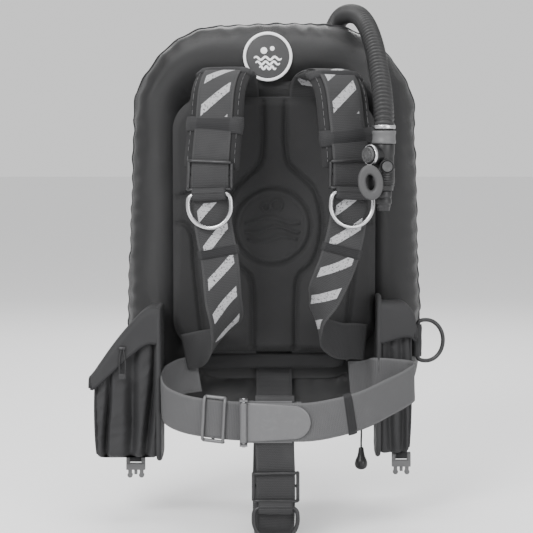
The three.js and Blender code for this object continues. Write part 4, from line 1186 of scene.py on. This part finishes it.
def makeFlap(side, p):
    sign = 1 if p["outer"] > p["inner"] else -1
    width = abs(p["outer"] - p["inner"])
    drop = p["topIn"] - p["topOut"]
    if drop > 0.01:
        profile = [(0.0, 0.011), (0.12, 0.0125), (0.26, 0.006), (0.45, -0.012), (0.66, -0.035),
                   (0.86, -0.060), (1.03, -0.083)]
    else:
        profile = [(0.0, 0.006), (0.12, 0.0045), (0.35, 0.004), (0.62, 0.003), (0.84, -0.001),
                   (1.0, -0.012), (1.05, -0.030)]
    points = [Vector((p["inner"] + sign * width * s, 0, p["topIn"] + z)) for s, z in profile]
    line = evenly(smoothPath(points), 0.0025)[0]
    front, rear = p["front"] - 0.0015, p["rear"] + 0.0005
    lip = flap["lip"] if drop > 0.01 else flap["levelLip"]
    columns = 56
    grid = []
    for i, place in enumerate(line):
        share = i / (len(line) - 1)
        hang = lip * (0.95 * (1 - share) ** 0.6 + 0.22)
        row = []
        reach = (rear - front) + hang * 1.25
        for j in range(columns + 1):
            s = reach * (1 - j / columns)
            ripple = noise.noise(Vector((share * 3.2, s * 26, 4.0 if sign > 0 else 1.0)))
            flat = rear - front - 0.007
            if s <= reach - hang * 1.25 - 0.007 or s <= flat:
                y, z = rear - s, 0.0018 * ripple
            else:
                past = s - flat
                bend = min(1, past / 0.013)
                y = rear - flat - 0.009 * math.sin(bend * math.pi / 2) - 0.0012 * ripple - 0.0006
                z = -max(0, past - 0.005) * 0.93 - 0.002 * bend
            row.append(Vector((place.x, y, place.z + z)))
        grid.append(row)
    clothSheet(side + "_flap_cloth", grid, flap["thickness"], pocketCloth, side + "_flap",
               (side + "_pocket_flap",))
    hem = [grid[-1][j] for j in range(columns, -1, -1)]
    verts, faces = tube([h + Vector((0, 0, 0.0004)) for h in hem[::4]], lambda t, s: flap["hemRadius"],
                        sides=10)[:2]
    piece(side + "_flap_binding", verts, faces, keeperWeb, side + "_flap", ())
    low = [row[0] for row in grid[2:]]
    verts, faces = tube(low[::4] + [low[-1]], lambda t, s: flap["edgeRadius"], sides=10)[:2]
    piece(side + "_flap_edge", verts, faces, keeperWeb, side + "_flap", ())


def box(lo, hi):
    corners = [(x, y, z) for x in (lo[0], hi[0]) for y in (lo[1], hi[1]) for z in (lo[2], hi[2])]
    return corners, [(0, 1, 3, 2), (4, 6, 7, 5), (0, 4, 5, 1), (2, 3, 7, 6), (0, 2, 6, 4), (1, 5, 7, 3)]


def makeHanger(side):
    lo, hi = boxOf(side + "_pocket_buckle")
    x, y = (lo.x + hi.x) / 2, (lo.y + hi.y) / 2
    top, low = hi.z, lo.z
    body = side + "_hanger"
    half = (hi.x - lo.x) / 2
    barRows = [(0, 0.0034), (0.001, 0.004), (2 * half - 0.001, 0.004), (2 * half, 0.0034)]
    verts, faces = collect(
        turned((x - half, y, top - 0.004), (x + half, y, top - 0.004), barRows),
        box((x - half, y - 0.0034, top - 0.012), (x - half + 0.0052, y + 0.0034, top - 0.003)),
        box((x + half - 0.0052, y - 0.0034, top - 0.012), (x + half, y + 0.0034, top - 0.003)),
        box((x - half, y - 0.0040, top - 0.0205), (x + half, y + 0.0040, top - 0.0115)),
        box((x - half * 0.80, y - 0.0030, low + 0.002), (x - half * 0.42, y + 0.0030, top - 0.020)),
        box((x + half * 0.42, y - 0.0030, low + 0.002), (x + half * 0.80, y + 0.0030, top - 0.020)),
        box((x - half * 0.16, y - 0.0022, low + 0.005), (x + half * 0.16, y + 0.0022, top - 0.020)),
        turned((x - half * 0.61, y - 0.0028, low + 0.004), (x - half * 0.61, y + 0.0028, low + 0.004),
               [(0, 0.0036), (0.0056, 0.0036)]),
        turned((x + half * 0.61, y - 0.0028, low + 0.004), (x + half * 0.61, y + 0.0028, low + 0.004),
               [(0, 0.0036), (0.0056, 0.0036)]))
    sharpen(piece(side + "_hanging_buckle", verts, faces, greyPlastic, body, (side + "_pocket_buckle",),
                  smooth=False), 0.0006)
    loop = [(x, y + dy, top + dz) for dy, dz in (
        (-0.0052, 0.008), (-0.0060, -0.002), (-0.0052, -0.0068), (0, -0.0092), (0.0052, -0.0068),
        (0.0060, -0.002), (0.0052, 0.008))]
    dense = evenly(smoothPath(loop), 0.001)[0]
    reach = half - 0.0055
    rings = []
    for i, place in enumerate(dense):
        ahead = (dense[min(i + 1, len(dense) - 1)] - dense[max(i - 1, 0)]).normalized()
        out = Vector((1, 0, 0)).cross(ahead)
        rings.append([place + Vector((a, 0, 0)) + out * b for a, b in (
            (-reach, -0.0006), (-reach, 0.0006), (reach, 0.0006), (reach, -0.0006))])
    verts, faces = skin(rings)
    piece(side + "_hanger_loop", verts, faces, keeperWeb, "harness", ())


for side, sizes in pockets.items():
    makeFlap(side, sizes)
    makeHanger(side)

zipLo, zipHi = boxOf("zip_pull")
zipTop = Vector(((zipLo.x + zipHi.x) / 2, (zipLo.y + zipHi.y) / 2, zipHi.z))
zipLoop = [(0.0, 0, -0.002), (-0.0032, -0.0003, -0.014), (-0.0040, 0, -0.030), (-0.0022, 0, -0.0425),
           (0.0022, 0, -0.0425), (0.0040, 0, -0.030), (0.0032, 0.0003, -0.014)]
verts, faces = collect(
    turned(zipTop + Vector((-0.004, 0, -0.0025)), zipTop + Vector((0.004, 0, -0.0025)),
           [(0, 0.0022), (0.008, 0.0022)]),
    tube([zipTop + Vector(v) for v in zipLoop], lambda t, s: 0.0010, closed=True, sides=12, step=0.0006)[:2],
    box(zipTop + Vector((-0.0045, -0.0020, -0.0440)), zipTop + Vector((0.0045, 0.0020, -0.0370))))
sharpen(piece("zip_pull_loop", verts, faces, blackSteel, "zip_pull", ("zip_pull",)), 0.0004)
print("flaps and hangers made")


# Tank bands, their buckles and levers
# CAD pieces kept as they are, with a material and eased edges of that width.
for name, material, width in (
        ("buckle_frame", buckleSteel, 0), ("backplate", buckleSteel, 0.0006),
        ("tank_pad", keeperWeb, 0.0012), ("wing_centre_panel", cordura, 0.0006),
        ("buckle_pin", polishedSteel, 0.0003),
        ("upper_tank_band", keeperWeb, 0.0004), ("lower_tank_band", keeperWeb, 0.0004),
        ("upper_band_buckle", polishedSteel, 0.0008), ("lower_band_buckle", polishedSteel, 0.0008),
        ("upper_band_lever", polishedSteel, 0.0008), ("lower_band_lever", polishedSteel, 0.0008)):
    kept = bpy.data.objects[name]
    kept.data.materials.clear()
    kept.data.materials.append(material)
    if width:
        bevelled(kept, width, 2, 30)
print("kept pieces dressed")


# Floor, lights and sizes
lowest = cadBounds[0][2]
floorMaterial = mouldedPlastic("floor", (0.86, 0.86, 0.865), 0.8, (0.88, 0.88, 0.885))
mesh = bpy.data.meshes.new("floor")
floorHalf = 30
mesh.from_pydata([(x, y, lowest - 0.002) for x, y in (
    (-floorHalf, -floorHalf), (floorHalf, -floorHalf), (floorHalf, floorHalf), (-floorHalf, floorHalf))],
    [], [(0, 1, 2, 3)])
mesh.materials.append(floorMaterial)
floor = bpy.data.objects.new("floor", mesh)
bpy.context.scene.collection.objects.link(floor)
floor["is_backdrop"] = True


def softbox(name, place, aim, size, power):
    data = bpy.data.lights.new(name, "AREA")
    data.shape = "RECTANGLE"
    data.size, data.size_y = size
    data.energy = power
    made = bpy.data.objects.new(name, data)
    made.location = place
    made.rotation_euler = (Vector(aim) - Vector(place)).to_track_quat("-Z", "Y").to_euler()
    bpy.context.scene.collection.objects.link(made)
    made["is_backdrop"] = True


middle = (0, 0, 0)
softbox("key", (-1.1, -2.0, 1.3), middle, (1.1, 1.1), 74)
softbox("fill", (1.5, -2.0, 0.5), middle, (1.2, 1.4), 30)
softbox("top", (0, 0.1, 2.0), middle, (1.6, 1.6), 40)
softbox("back", (0, 2.2, 1.3), middle, (1.6, 1.0), 20)
world = bpy.data.worlds.new("world")
bpy.context.scene.world = world
world.use_nodes = True
world.node_tree.nodes["Background"].inputs[0].default_value = (1, 1, 1, 1)
world.node_tree.nodes["Background"].inputs[1].default_value = 0.95

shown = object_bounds()
sizes = {"cad": [list(v) for v in cadBounds], "visual": [list(v) for v in shown]}
print("sizes written", sizes)
